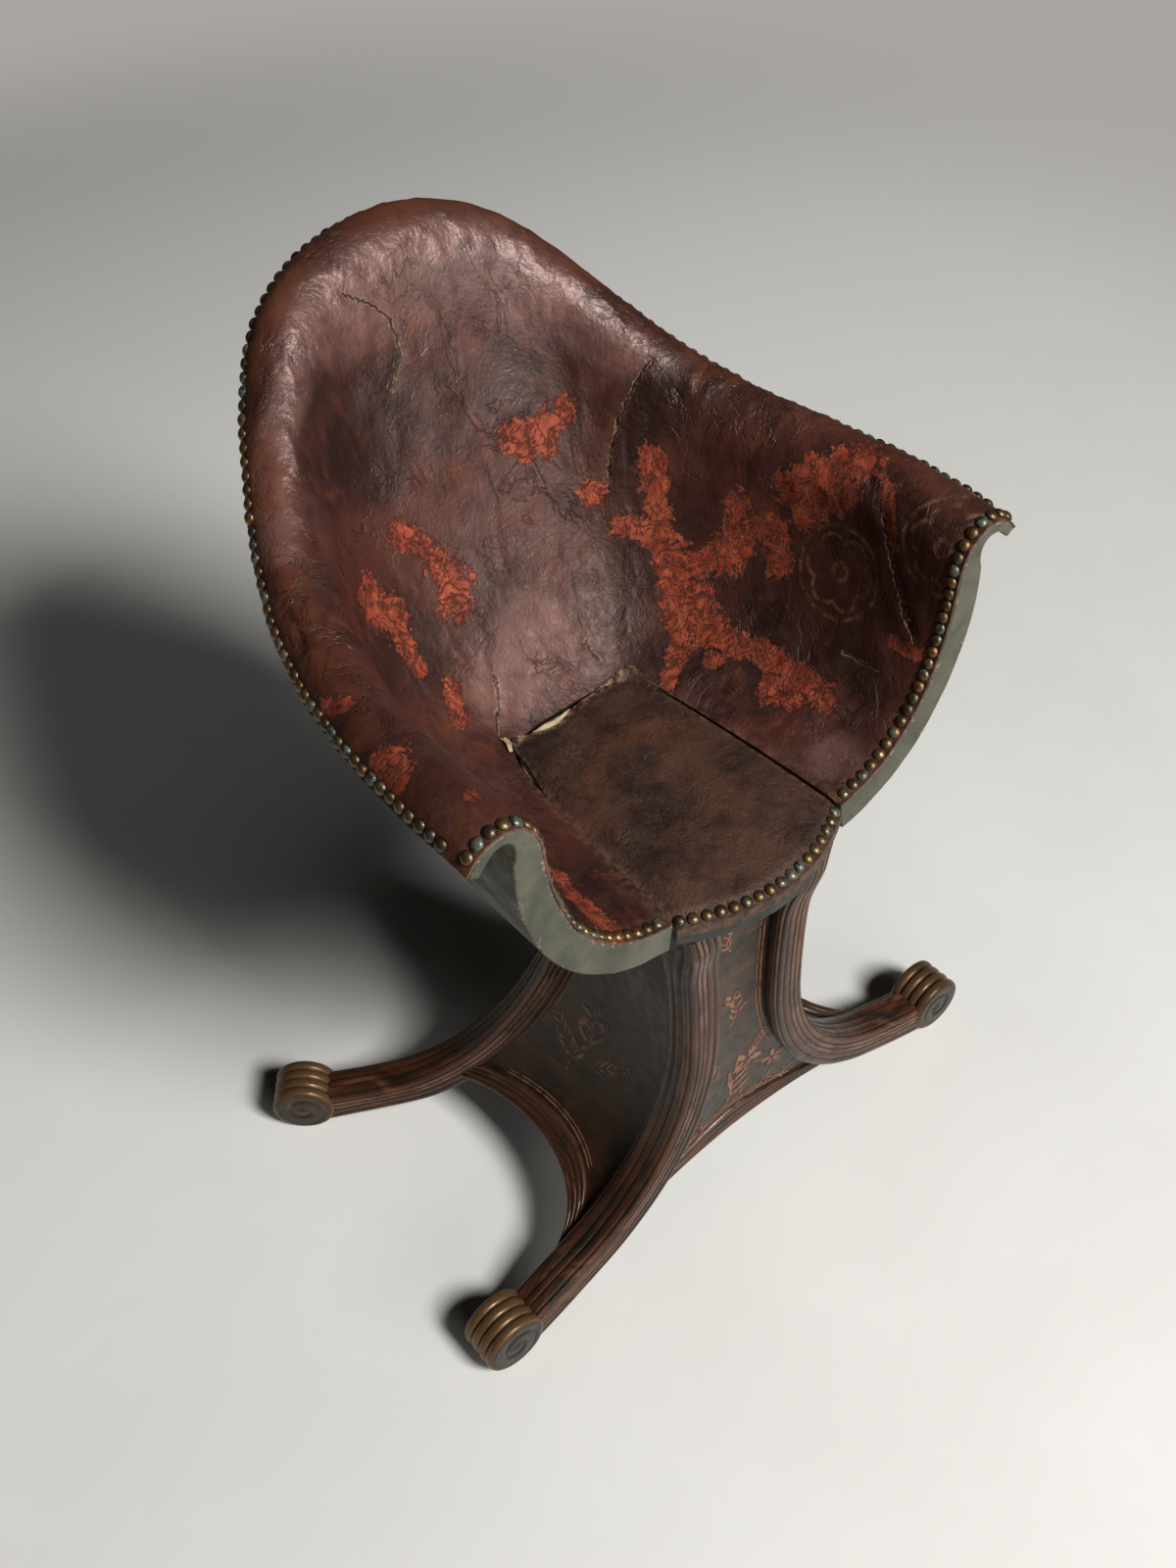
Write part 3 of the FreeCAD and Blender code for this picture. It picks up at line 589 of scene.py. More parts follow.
lacquerLook = {  # black-brown lacquer, rubbed to red-brown on the reeds and gilt bronze on the scrolls
    "black": colour(0.0085, 0.0062, 0.0048), "brown": colour(0.028, 0.0122, 0.0060),
    "rubbed": colour(0.068, 0.0205, 0.0072), "copper": colour(0.140, 0.063, 0.035),
    "bronze": colour(0.118, 0.064, 0.028), "dust": colour(0.056, 0.042, 0.027),
    "sheen": colour(1.0, 0.88, 0.74),
    "dustAt": ((0.5, 0.82), (34.0, 6.0, 0.66, 0.6)), "stripeAt": ((0.42, 0.58), (26.0, 7.0, 0.7)),
    "streak": (80.0, 5.0, 0.58, 0.3), "lengthwise": 0.10, "sway": 0.03, "crestRub": 0.30,
    "streakRub": (1.6, -0.48), "rubFrom": (0.30, 0.78), "brightFrom": (0.62, 0.86),
    "giltFrom": (0.20, 0.60), "metal": 0.4, "gloss": (0.26, 0.44), "sheenLevel": 0.36,
    "fineGrain": 0.4, "relief": (0.35, 0.0008),
}


def lacquer():  # layers over the mottled black: dust, streaks rubbed along the reeds, stripes, gilding
    look = lacquerLook
    material, tree, shader, place = newMaterial("wornLacquer")
    tint = mottled(tree, place, 14.0, 0.38, 0.7, look["black"], look["brown"])
    tint = laidOver(tree, tint, patchesOf(tree, place, look["dustAt"]), look["dust"], 0.32)
    crest = fieldOf(tree, "crest")
    lengthwise = addNode(tree, "ShaderNodeCombineXYZ", {
        "X": fieldOf(tree, "girth"), "Y": times(tree, fieldOf(tree, "run"), look["lengthwise"]),
        "Z": times(tree, noiseOf(tree, place, 9.0, 2.0), look["sway"])}).outputs[0]
    streak = noiseOf(tree, lengthwise, *look["streak"])
    rubField = mathOf(tree, "ADD", times(tree, crest, look["crestRub"]),
                      mathOf(tree, "MULTIPLY_ADD", streak, *look["streakRub"]))
    tint = laidOver(tree, tint, stepOf(tree, rubField, *look["rubFrom"]), look["rubbed"], 0.72)
    tint = laidOver(tree, tint, stepOf(tree, rubField, *look["brightFrom"]), look["copper"], 0.4)
    tint = laidOver(tree, tint, brokenField(tree, place, "stripe", look["stripeAt"]), look["copper"], 0.7)
    gilt = times(tree, fieldOf(tree, "gilt"), stepOf(tree, rubField, *look["giltFrom"]))
    tint = mixOf(tree, gilt, tint, look["bronze"])
    tree.links.new(tint, shader.inputs["Base Color"])
    tree.links.new(times(tree, gilt, look["metal"]), shader.inputs["Metallic"])
    tree.links.new(glossOf(tree, place, *look["gloss"], 90.0, 5.0), shader.inputs["Roughness"])
    setSheen(shader, look["sheenLevel"], look["sheen"])
    grain = mathOf(tree, "ADD", noiseOf(tree, place, 60.0, 6.0, 0.6),
                   times(tree, noiseOf(tree, place, 420.0, 3.0), look["fineGrain"]))
    relief(tree, shader, grain, *look["relief"])
    return material


paintLook = {  # sage-green paint over wood, and the darker paint of the seat's board
    "sage": (colour(0.042, 0.0415, 0.0255), colour(0.080, 0.079, 0.052), colour(0.026, 0.029, 0.023)),
    "seat": (colour(0.010, 0.0115, 0.0090), colour(0.024, 0.026, 0.020), colour(0.0065, 0.0068, 0.0055)),
    "wood": colour(0.21, 0.135, 0.075), "dirt": colour(0.030, 0.030, 0.025),
    "shadeAt": ((0.45, 0.75), (7.0, 4.0)), "grimeAt": ((0.56, 0.72), (70.0, 7.0, 0.7, 1.0)),
    "gloss": (0.50, 0.72), "chipDepth": 0.5, "relief": (0.6, 0.0012),
}


def sagePaint(name, dark, pale, shade):  # layers over the mottled paint: shade, grime, chips to the wood
    look = paintLook
    material, tree, shader, place = newMaterial(name)
    tint = mottled(tree, place, 26.0, 0.36, 0.66, dark, pale)
    tint = laidOver(tree, tint, patchesOf(tree, place, look["shadeAt"]), shade, 0.6)
    tint = laidOver(tree, tint, patchesOf(tree, place, look["grimeAt"]), look["dirt"], 0.5)
    chips = useGroup(tree, flake, {"Place": place, "Field": fieldOf(tree, "edge"), "Coarse": 120.0,
                                   "Fine": 420.0})
    tint = mixOf(tree, chips["Mask"], tint, look["wood"])
    tint = laidOver(tree, tint, chips["Rim"], look["dirt"], 0.4)
    tree.links.new(tint, shader.inputs["Base Color"])
    tree.links.new(glossOf(tree, place, *look["gloss"], 50.0, 5.0), shader.inputs["Roughness"])
    brush = noiseOf(tree, place, 75.0, 7.0, 0.66, 0.6)
    height = mathOf(tree, "SUBTRACT", brush, times(tree, chips["Mask"], look["chipDepth"]))
    relief(tree, shader, height, *look["relief"])
    return material


brassLook = {  # aged brass, dark round its skirt and green where it has bloomed
    "gold": colour(0.205, 0.112, 0.043), "dull": colour(0.064, 0.052, 0.031),
    "green": colour(0.060, 0.095, 0.080), "dark": colour(0.015, 0.011, 0.008),
    "dullAt": ((0.5, 0.68), (420.0, 4.0)), "bloomAt": ((0.38, 0.6), (300.0, 4.0)), "skirt": 0.3,
    "metal": (0.85, 0.1), "gloss": (0.28, 0.5), "relief": (0.3, 0.0005),
}


def nailBrass():  # gold to dull by the nail's age, then green bloom and the dark skirt
    look = brassLook
    material, tree, shader, place = newMaterial("agedBrass")
    tint = mixOf(tree, fieldOf(tree, "age"), look["gold"], look["dull"])
    tint = mixOf(tree, patchesOf(tree, place, look["dullAt"]), tint, look["dull"])
    bloom = brokenField(tree, place, "verdigris", look["bloomAt"])
    tint = mixOf(tree, bloom, tint, look["green"])
    skirt = lineOf(tree, fieldOf(tree, "crest"), 0.0, look["skirt"])
    tint = laidOver(tree, tint, skirt, look["dark"], 0.85)
    tree.links.new(tint, shader.inputs["Base Color"])
    tree.links.new(stepOf(tree, bloom, 0.0, 1.0, *look["metal"]), shader.inputs["Metallic"])
    tree.links.new(glossOf(tree, place, *look["gloss"], 500.0, 3.0), shader.inputs["Roughness"])
    relief(tree, shader, noiseOf(tree, place, 600.0, 3.0), *look["relief"])
    return material


copperLook = {  # bright and worn colour, and the level of wear, of each kind of painted copper
    "line": (colour(0.20, 0.088, 0.046), colour(0.030, 0.016, 0.011), 0.57),
    "sprig": (colour(0.205, 0.080, 0.040), colour(0.030, 0.017, 0.012), 0.55),
    "faintSprig": (colour(0.160, 0.060, 0.030), colour(0.022, 0.013, 0.009), 0.50),
    "wearSoft": 0.07, "roughness": 0.5, "relief": (0.2, 0.0004),
}


def copperPaint(name, bright, dark, wear):  # thin painted lines, worn through to the lacquer
    soft = copperLook["wearSoft"]
    material, tree, shader, place = newMaterial(name)
    gone = patchesOf(tree, place, ((wear - soft, wear + soft), (85.0, 7.0, 0.7, 0.4)))
    tree.links.new(mixOf(tree, gone, bright, dark), shader.inputs["Base Color"])
    shader.inputs["Roughness"].default_value = copperLook["roughness"]
    relief(tree, shader, noiseOf(tree, place, 300.0, 3.0), *copperLook["relief"])
    return material


towLook = {"dark": colour(0.30, 0.205, 0.11), "light": colour(0.62, 0.49, 0.31), "gloss": (0.80, 0.95),
           "relief": (0.8, 0.0012)}


def towCloth():  # cream canvas and tow of the stuffing
    look = towLook
    material, tree, shader, place = newMaterial("creamTow")
    tint = mottled(tree, place, 90.0, 0.35, 0.7, look["dark"], look["light"])
    tree.links.new(tint, shader.inputs["Base Color"])
    tree.links.new(glossOf(tree, place, *look["gloss"], 60.0), shader.inputs["Roughness"])
    relief(tree, shader, noiseOf(tree, place, 900.0, 4.0, 0.7, 2.0), *look["relief"])
    return material


timberLook = {  # dark and light colour and scale of the grain of each hidden wood and of the iron
    "timber": (colour(0.085, 0.052, 0.030), colour(0.20, 0.13, 0.075), 60.0),
    "darkBoard": (colour(0.012, 0.009, 0.008), colour(0.034, 0.022, 0.015), 50.0),
    "iron": (colour(0.030, 0.027, 0.025), colour(0.085, 0.070, 0.058), 220.0),
    "drawn": (1.0, 0.12, 1.0), "gloss": (0.55, 0.8), "relief": (0.4, 0.0008),
}


def plainTimber(name, dark, light, scale):  # bare wood or dark iron of the hidden pieces
    look = timberLook
    material, tree, shader, place = newMaterial(name)
    grain = drawnOut(tree, place, look["drawn"])
    tree.links.new(mottled(tree, grain, scale, 0.35, 0.68, dark, light), shader.inputs["Base Color"])
    tree.links.new(glossOf(tree, place, *look["gloss"], 70.0), shader.inputs["Roughness"])
    relief(tree, shader, noiseOf(tree, grain, scale * 2), *look["relief"])
    return material


finishes = {
    "hide": scoopHide(), "seatHide": seatHide(), "lacquer": lacquer(), "brass": nailBrass(),
    "tow": towCloth(), "sage": sagePaint("sagePaint", *paintLook["sage"]),
    "seatPaint": sagePaint("darkSeatPaint", *paintLook["seat"]),
    "line": copperPaint("copperLine", *copperLook["line"]),
    "sprig": copperPaint("copperSprig", *copperLook["sprig"]),
    "faintSprig": copperPaint("faintSprig", *copperLook["faintSprig"]),
    "timber": plainTimber("oldTimber", *timberLook["timber"]),
    "darkBoard": plainTimber("stainedBoard", *timberLook["darkBoard"]),
    "iron": plainTimber("darkIron", *timberLook["iron"]),
}
print("finishes made")


# the scoop: one surface from the seat's edge up the wall and over the rolled lip

scoop = {
    "seatFrontHalf": 0.086, "seatBackHalf": 0.070, "seatFrontY": -0.210, "seatBackY": 0.020,
    "seatCorner": 0.006, "armHalf": 0.251, "armHeight": 0.640, "armSwell": 0.007, "armDip": 0.008,
    "wingHalf": 0.180, "wingY": 0.149, "wingHeight": 0.695, "backHalf": 0.102, "backY": 0.239,
    "backHeight": 0.800, "wallThick": 0.030, "lipThick": 0.012, "paddingDepth": 0.007,
    "lipPaddingDepth": 0.005, "frontPaddingDepth": 0.0034, "frontBlend": 0.022,
    "rollRise": 0.034, "rollReturn": 0.023, "wallShare": 8 / 14, "taperStart": 0.45, "taperLength": 0.4,
    "edgePulls": ((0.13, 0.27), (0.6, 0.66)), "backPull": 0.55, "armRuns": (0.28, 0.67), "armIn": 0.17,
    "spring": 0.066,
    # at the arms and at the back
    "slope": (8.0, 32.0), "lipReach": (0.061, 0.058), "lipRise": (0.018, 0.034),
    "kneeLean": (0.005, 0.042), "kneePull": (0.090, 0.150), "rollLean": (0.002, 0.009),
}


def edgeAndLip(share):  # seat edge in plan and the lip's outer edge, as splines from the front to the back
    c = scoop
    arm, height, length = c["armHalf"], c["armHeight"], c["wingY"] - c["seatFrontY"]
    frontY, backY = c["seatFrontY"], c["seatBackY"]
    edge = [(c["seatFrontHalf"], frontY)]
    edge += [(lerp(c["seatFrontHalf"], c["seatBackHalf"], inward), lerp(frontY, backY, back))
             for inward, back in c["edgePulls"]]
    edge += [(c["seatBackHalf"], backY - c["seatCorner"]), (c["seatBackHalf"] * c["backPull"], backY),
             (0, backY)]
    swellAt, dipAt = (frontY + length * run for run in c["armRuns"])
    lip = [(arm, frontY, height), (arm + c["armSwell"], swellAt, height + c["armSwell"]),
           (lerp(arm, c["wingHalf"], c["armIn"]), dipAt, height - c["armDip"]),
           (c["wingHalf"], c["wingY"], c["wingHeight"]), (c["backHalf"], c["backY"], c["backHeight"]),
           (0, c["backY"], c["backHeight"])]
    return clampedSpline(edge, share), clampedSpline(lip, share)


# along runs from -1 at the left tip by 0 at the back to 1 at the right tip, rise from 0 at the seat to 1 at
# the lip, and depth goes behind the face; the section is two cubics, the wall and the roll

def scoopPoint(along, rise, depth):
    c = scoop
    along, rise, depth = np.broadcast_arrays(np.asarray(along, float), np.asarray(rise, float), depth)
    share = 1 - np.abs(along)
    edge, lip = edgeAndLip(share)
    out = lip[..., :2] - edge
    reach = np.linalg.norm(out, axis=-1)
    out = out / reach[..., None]
    turn = smooth(share)

    def armToBack(key):  # blend of a pair of values, by the turn from arm to back
        return lerp(c[key][0], c[key][1], turn)

    slope = np.radians(armToBack("slope"))
    startZ = boardTop + c["wallThick"] * np.cos(slope)
    endZ = lip[..., 2]
    kneeR = reach - armToBack("lipReach")
    kneeZ = endZ - armToBack("lipRise")
    wallR = (0 * reach, c["spring"] * np.cos(slope), kneeR - armToBack("kneeLean"), kneeR)
    wallZ = (startZ, startZ + c["spring"] * np.sin(slope), kneeZ - armToBack("kneePull"), kneeZ)
    rollR = (kneeR, kneeR + armToBack("rollLean"), reach - c["rollReturn"], reach)
    rollZ = (kneeZ, kneeZ + c["rollRise"], endZ + c["rollRise"], endZ)
    inWall = rise < c["wallShare"]
    at = np.where(inWall, rise / c["wallShare"], (rise - c["wallShare"]) / (1 - c["wallShare"]))
    r = np.where(inWall, bezier(wallR, at), bezier(rollR, at))
    z = np.where(inWall, bezier(wallZ, at), bezier(rollZ, at))
    dr = np.where(inWall, bezierRun(wallR, at), bezierRun(rollR, at))
    dz = np.where(inWall, bezierRun(wallZ, at), bezierRun(rollZ, at))
    run = np.hypot(dr, dz)
    r = r + dz / run * depth
    z = z - dr / run * depth
    x = np.sign(along) * (edge[..., 0] + out[..., 0] * r)
    return np.stack([x, edge[..., 1] + out[..., 1] * r, z], -1)


def wallDepths(rise, fromFront):  # depth of the wood's two faces behind the leather's face
    c = scoop
    taper = smooth((rise - c["taperStart"]) / c["taperLength"])
    inner = lerp(c["paddingDepth"], c["lipPaddingDepth"], taper)
    inner = lerp(np.minimum(inner, c["frontPaddingDepth"]), inner, smooth(fromFront / c["frontBlend"]))
    return inner, lerp(c["wallThick"], c["lipThick"], taper)


leather = {
    "acrossCount": 331, "riseCount": 150, "nailPitch": 0.0104, "calmReach": 0.03, "proud": 0.0012,
    "lump": 0.0020, "lumpSize": 0.085, "ripple": 0.0010, "rippleSize": 0.026,
    "rippleStretch": (1.0, 1.0, 0.55), "tuck": 0.0022, "tuckFront": 0.014, "tuckLip": 0.013,
    "tuckLipShare": 0.8, "pucker": 0.0005, "puckerReach": 0.010, "gather": 0.0008, "gatherAcross": 0.011,
    "gatherDown": 0.050, "gatherAt": 0.020, "gatherReach": 0.028, "fold": 0.0007, "foldWidth": 0.003,
    "foldLip": 0.0004, "foldLipAt": 0.009, "foldLipWidth": 0.006, "leastThick": 0.0018,
    "underside": 0.0002, "outOfPicture": 1e4, "strokeSteps": 24, "foldSteps": 60, "runEvery": 12,
    "splitReach": 0.008, "splitFar": 0.02, "rosetteReach": 0.06, "rosetteFar": 0.1, "scuffCore": 1.05,
    "scuffFall": 0.55, "castGain": 1.6, "warmFrom": 0.72, "warmOver": 0.2, "warmTips": 1.25,
    "frontRub": 0.012, "seatRub": 0.010, "polish": 0.9, "polishFrom": 0.26, "polishOver": 0.30,
    "polishLeft": (1.5, 1.3), "sharp": 60,
    # worn-through patches: strokes as they lie in the photo's pixels, and half their width in metres
    "scuffs": [
        ([(528, 449), (548, 447)], 0.016), ([(556, 440), (576, 416)], 0.011), ([(608, 502)], 0.012),
        ([(665, 464), (669, 505), (674, 545)], 0.012), ([(633, 536), (662, 541)], 0.010),
        ([(676, 550), (690, 594), (696, 634)], 0.014), ([(694, 640), (693, 671), (682, 697)], 0.009),
        ([(704, 574), (735, 568), (752, 556)], 0.015), ([(748, 574), (755, 512)], 0.012),
        ([(765, 540), (788, 540), (796, 570)], 0.013),
        ([(806, 497), (835, 484), (862, 478), (884, 472)], 0.016),
        ([(818, 527), (868, 506)], 0.010), ([(903, 487), (907, 518), (912, 556)], 0.005),
        ([(706, 612), (722, 640)], 0.018), ([(726, 648), (766, 663), (812, 688), (842, 712)], 0.011),
        ([(790, 704), (812, 706)], 0.013), ([(728, 671)], 0.008), ([(915, 655), (939, 668)], 0.006),
        ([(404, 546), (420, 548), (440, 562)], 0.011), ([(444, 570), (460, 590), (462, 617)], 0.015),
        ([(374, 612), (388, 622), (404, 634)], 0.017), ([(402, 642), (414, 662), (424, 682)], 0.011),
        ([(458, 703), (466, 734)], 0.009), ([(400, 780), (402, 796)], 0.014),
        ([(433, 776), (462, 798), (499, 826)], 0.006),
        ([(330, 724), (354, 720)], 0.007), ([(560, 892), (592, 924), (622, 952)], 0.011),
    ],
    # pale bloom that is partly painted highlight, and dark patches that are partly stain and partly painted
    # shade, laid on in the same way
    "bloomHighlight": [([(330, 330), (400, 285), (480, 262), (545, 305)], 0.045), ([(590, 335), (640, 365)], 0.024),
             ([(300, 390), (272, 480), (285, 560)], 0.020), ([(545, 640), (515, 705)], 0.045),
             ([(850, 775)], 0.03)],
    "stainShade": [([(600, 570), (645, 550)], 0.035), ([(350, 455), (385, 480)], 0.035),
             ([(693, 645), (686, 700)], 0.010), ([(932, 530), (915, 620)], 0.030),
             ([(895, 700), (870, 660)], 0.030), ([(655, 430), (640, 500)], 0.022)],
    # splits in the leather, tooled rosettes, and folds that are only pressed in
    "cracks": [
        [(350, 300), (384, 316), (401, 338), (405, 362), (398, 396)],
        [(662, 368), (646, 396), (631, 428), (623, 462), (621, 492)],
        [(597, 657), (609, 670)], [(502, 690), (505, 716), (508, 748)], [(864, 667), (888, 679)],
        [(902, 527), (908, 560), (921, 612), (932, 648)],
    ],
    "rosettes": [(857, 582), (962, 560)],
    "creases": [
        [(880, 470), (902, 527), (912, 575), (933, 649)], [(300, 602), (322, 600), (334, 614), (326, 634)],
        [(286, 620), (304, 640), (310, 668)], [(640, 470), (640, 420), (652, 388)],
    ],
}


def leatherStroke(pixels, plain, count):  # a stroke over the photo, as the points of leather that it covers
    line = throughPoints(pixels, count) if len(pixels) > 1 else np.asarray(pixels, float)
    hidden = (gridNormal(plain) * (plain - np.array(camera["place"]))).sum(-1) > 0
    off = photoSpot(plain) + leather["outOfPicture"] * hidden[..., None]
    near = [((off - spot)**2).sum(-1).argmin() for spot in line]
    return plain.reshape(-1, 3)[near]


def strokeShare(plain, strokes):  # distance to the nearest stroke, as a share of that stroke's half width
    return np.min([nearest(plain, leatherStroke(pixels, plain, leather["strokeSteps"])) / radius
                   for pixels, radius in strokes], 0)


def splitField(plain, paths):  # offset to the side of the nearest split, and distance past its ends
    s = leather
    normal = unit(gridNormal(plain))
    best = np.full(plain.shape[:2], farOff)
    side, reach = 0 * best + s["splitFar"], 0 * best + s["splitFar"]
    for path in paths:
        run = unit(np.gradient(throughPoints(path[::s["runEvery"]], len(path)), axis=0))
        off = np.stack([((plain - spot)**2).sum(-1) for spot in path])
        k = off.argmin(0)
        away = np.sqrt(off.min(0))
        step = plain - path[k]
        past = np.abs((step * run[k]).sum(-1)) * ((k == 0) | (k == len(path) - 1))
        here = away < best
        side = np.where(here, (step * np.cross(normal, run[k])).sum(-1), side)
        reach = np.where(here, np.where(away > s["splitReach"], away, past), reach)
        best = np.minimum(best, away)
    return side, reach


def rosetteField(plain, middles):  # flat place round the nearest tooled rosette, or far off
    across, up = leather["rosetteFar"], leather["rosetteFar"]
    best = np.full(plain.shape[:2], leather["rosetteReach"])
    for middle in middles:
        k = np.unravel_index(((plain - middle)**2).sum(-1).argmin(), plain.shape[:2])
        along = unit(np.gradient(plain, axis=0)[k])
        rise = unit(np.gradient(plain, axis=1)[k])
        step = plain - middle
        away = np.linalg.norm(step, axis=-1)
        here = away < best
        across, up = np.where(here, step @ along, across), np.where(here, step @ rise, up)
        best = np.minimum(best, away)
    return across, up


def leatherEdges(plain):  # distances from the nearer front edge, from the seat and from the lip
    length = runLength(plain, 0)
    height = runLength(plain, 1)
    return np.minimum(length, length[-1:] - length), height, height[:, -1:] - height


def leatherDepth(plain, rise):  # depth of the face, tucks and folds less lumps and ripples, and of the wood
    s = leather
    fromFront, height, fromLip = leatherEdges(plain)
    inner = wallDepths(np.broadcast_to(rise, plain.shape[:2]), fromFront)[0]
    calm = smooth(fromFront / s["calmReach"]) * smooth(fromLip / s["calmReach"])
    calm = calm * smooth(height / s["calmReach"])
    lumps = layeredNoise(plain, s["lumpSize"], 3, 3) * s["lump"]
    stretched = plain * np.array(s["rippleStretch"])
    ripples = (1 - np.abs(layeredNoise(stretched, s["rippleSize"], 3, 11)))**3 * s["ripple"]
    tuck = s["tuck"] * np.maximum(1 - smooth(fromFront / s["tuckFront"]),
                                  s["tuckLipShare"] * (1 - smooth(fromLip / s["tuckLip"])))
    edgeRun = runLength(plain[:, -1:], 0)
    wave = np.cos(2 * np.pi * height / s["nailPitch"]) * bell(fromFront, s["puckerReach"])
    wave = wave + np.cos(2 * np.pi * edgeRun / s["nailPitch"]) * bell(fromLip, s["puckerReach"])
    drawn = np.broadcast_arrays(edgeRun / s["gatherAcross"], fromLip / s["gatherDown"], 0 * fromLip)
    gathers = softNoise(np.stack(drawn, -1), 17) * bell(fromLip - s["gatherAt"], s["gatherReach"])
    depth = -calm * (lumps + ripples) + tuck + s["pucker"] * wave
    depth = depth + gathers * s["gather"] - s["proud"] * calm
    for pixels in s["creases"] + s["cracks"]:
        off = nearest(plain, leatherStroke(pixels, plain, s["foldSteps"]))
        depth = depth + s["fold"] * bell(off, s["foldWidth"])
        depth = depth - s["foldLip"] * bell(off - s["foldLipAt"], s["foldLipWidth"])
    return np.minimum(depth, inner - s["leastThick"]), inner


def leatherMarks(plain, along, rise):  # the marks that the finish reads, each from a distance or a height
    s = leather
    fromFront, height = leatherEdges(plain)[:2]
    rise = np.broadcast_to(rise, plain.shape[:2])
    scuff = s["scuffCore"] - s["scuffFall"] * strokeShare(plain, s["scuffs"])
    cracks = [leatherStroke(pixels, plain, s["foldSteps"]) for pixels in s["cracks"]]
    side, reach = splitField(plain, cracks)
    toolX, toolY = rosetteField(plain, leatherStroke(s["rosettes"], plain, len(s["rosettes"])))
    warm = smooth((rise - s["warmFrom"]) / s["warmOver"]) * smooth(s["warmTips"] - np.abs(along))
    rub = np.maximum(1 - fromFront / s["frontRub"], 1 - height / s["seatRub"])
    bright, fading = s["polishLeft"]
    polish = s["polish"] * smooth((rise - s["polishFrom"]) / s["polishOver"])
    polish = polish * smooth(bright - fading * along)
    bloomHighlight, stainShade = (smooth((1 - strokeShare(plain, s[key])) * s["castGain"]) for key in ("bloomHighlight", "stainShade"))
    return {"scuff": np.clip(scuff, 0, 1), "polish": polish, "bloomHighlight": bloomHighlight, "stainShade": stainShade, "splitSide": side,
            "splitReach": reach, "warm": warm, "rub": np.clip(rub, 0, 1), "toolX": toolX, "toolY": toolY}


def makeScoopLeather():  # the worked face and the underside that lies on the wood, as one closed hide
    s = leather
    along = np.linspace(-1, 1, s["acrossCount"])[:, None]
    rise = np.linspace(0, 1, s["riseCount"])[None]
    plain = scoopPoint(along, rise, 0.0)
    depth, inner = leatherDepth(plain, rise)
    marks = leatherMarks(plain, along, rise)
    block = np.stack([scoopPoint(along, rise, depth), scoopPoint(along, rise, inner - s["underside"])], 2)
    points, faces, onSkin = latticeSkin(block)
    fields = {key: doubled(value, onSkin) for key, value in marks.items()}
    piece = makePiece("scoopLeather", points, faces, fields, sharp=s["sharp"])
    dress(piece, finishes["hide"], "shell_hide", "shell_leather", "shell_padding")
    return block[:, :, 0]


leatherFace = makeScoopLeather()
print("scoop leather made")


staves = {"cheekShare": 3 / 12, "wingShare": 8 / 12, "riseCount": 46, "layerCount": 5, "stepsPerShare": 46,
          "joint": 0.0005, "chisel": 0.0006, "chiselSize": 0.022, "frontReach": 0.01, "frontProud": 0.0004,
          "lipReach": 0.02, "cornerPower": 8, "edgeWear": 0.42, "wear": 0.02, "bevel": 0.0011}


def makeStaves():  # blocks between the wood's two faces, chiselled a little, with worn corners at the front
    s = staves
    cheek, wing = 1 - s["cheekShare"], 1 - s["wingShare"]
    ranges = {"shell_cheek_left": (-1, -cheek), "shell_wing_left": (-cheek, -wing),
              "shell_back": (-wing, wing), "shell_wing_right": (wing, cheek),
              "shell_cheek_right": (cheek, 1)}
    for name, (start, end) in ranges.items():
        count = int(round((end - start) * s["stepsPerShare"])) * 2 + 1
        first, last = start + s["joint"] * (start > -1), end - s["joint"] * (end < 1)
        along = np.linspace(first, last, count)[:, None, None]
        rise = np.linspace(0, 1, s["riseCount"])[None, :, None]
        layer = np.linspace(0, 1, s["layerCount"])[None, None]
        face = scoopPoint(along[..., 0], rise[..., 0], 0.0)
        inner, outer = wallDepths(rise[..., 0], np.abs(face[..., 1] - scoop["seatFrontY"]))
        block = scoopPoint(along, rise, lerp(inner[..., None], outer[..., None], layer))
        front = bell(block[..., 1] - scoop["seatFrontY"], s["frontReach"])
        rough = layeredNoise(block, s["chiselSize"], 3, 21) * s["chisel"]
        block = block + np.stack([rough, front * rough - s["frontProud"] * front, rough], -1)
        points, faces, onSkin = latticeSkin(block)
        corner = np.maximum(np.abs(2 * layer - 1)**s["cornerPower"], bell(1 - rise, s["lipReach"]))
        edge = front * corner * s["edgeWear"] + s["wear"]
        words = name.title().replace("_", "")
        piece = makePiece(words[0].lower() + words[1:], points, faces, {"edge": edge[onSkin]})
        softenEdges(piece, s["bevel"])
        dress(piece, finishes["sage"], "shell_paint", name)


makeStaves()
print("staves made")


# brass nails: low domes in rows, each a little turned and worn its own way

nails = {"radius": 0.0048, "dome": 0.0034, "around": 14, "inset": 0.0062, "pitch": leather["nailPitch"],
         "tilt": 0.10, "sizeSpread": 0.025, "agePower": 1.2, "greenFrom": 0.40, "sharp": 80,
         "rings": ((1.0, -0.35), (1.03, 0.02), (0.97, 0.30), (0.80, 0.62), (0.53, 0.86), (0.24, 0.97)),
         "lipColumn": 110, "rimEnds": 4, "edgeColumns": 12, "edgeEnds": (2, 3),
         "seeds": {"rim": 5, "left": 6, "right": 7, "seat": 9}}


def nailShape():  # rings of a dome, each (radius, height) as shares of the nail's
    n = nails
    turn = np.linspace(0, 2 * np.pi, n["around"], endpoint=False)
    across = n["radius"] * np.stack([np.cos(turn), np.sin(turn)], -1)
    rings = [np.column_stack([r * across, 0 * turn + h * n["dome"]]) for r, h in n["rings"]]
    points, faces = tubeSkin(np.stack(rings))
    points[-1, 2] = n["dome"]
    return points, faces


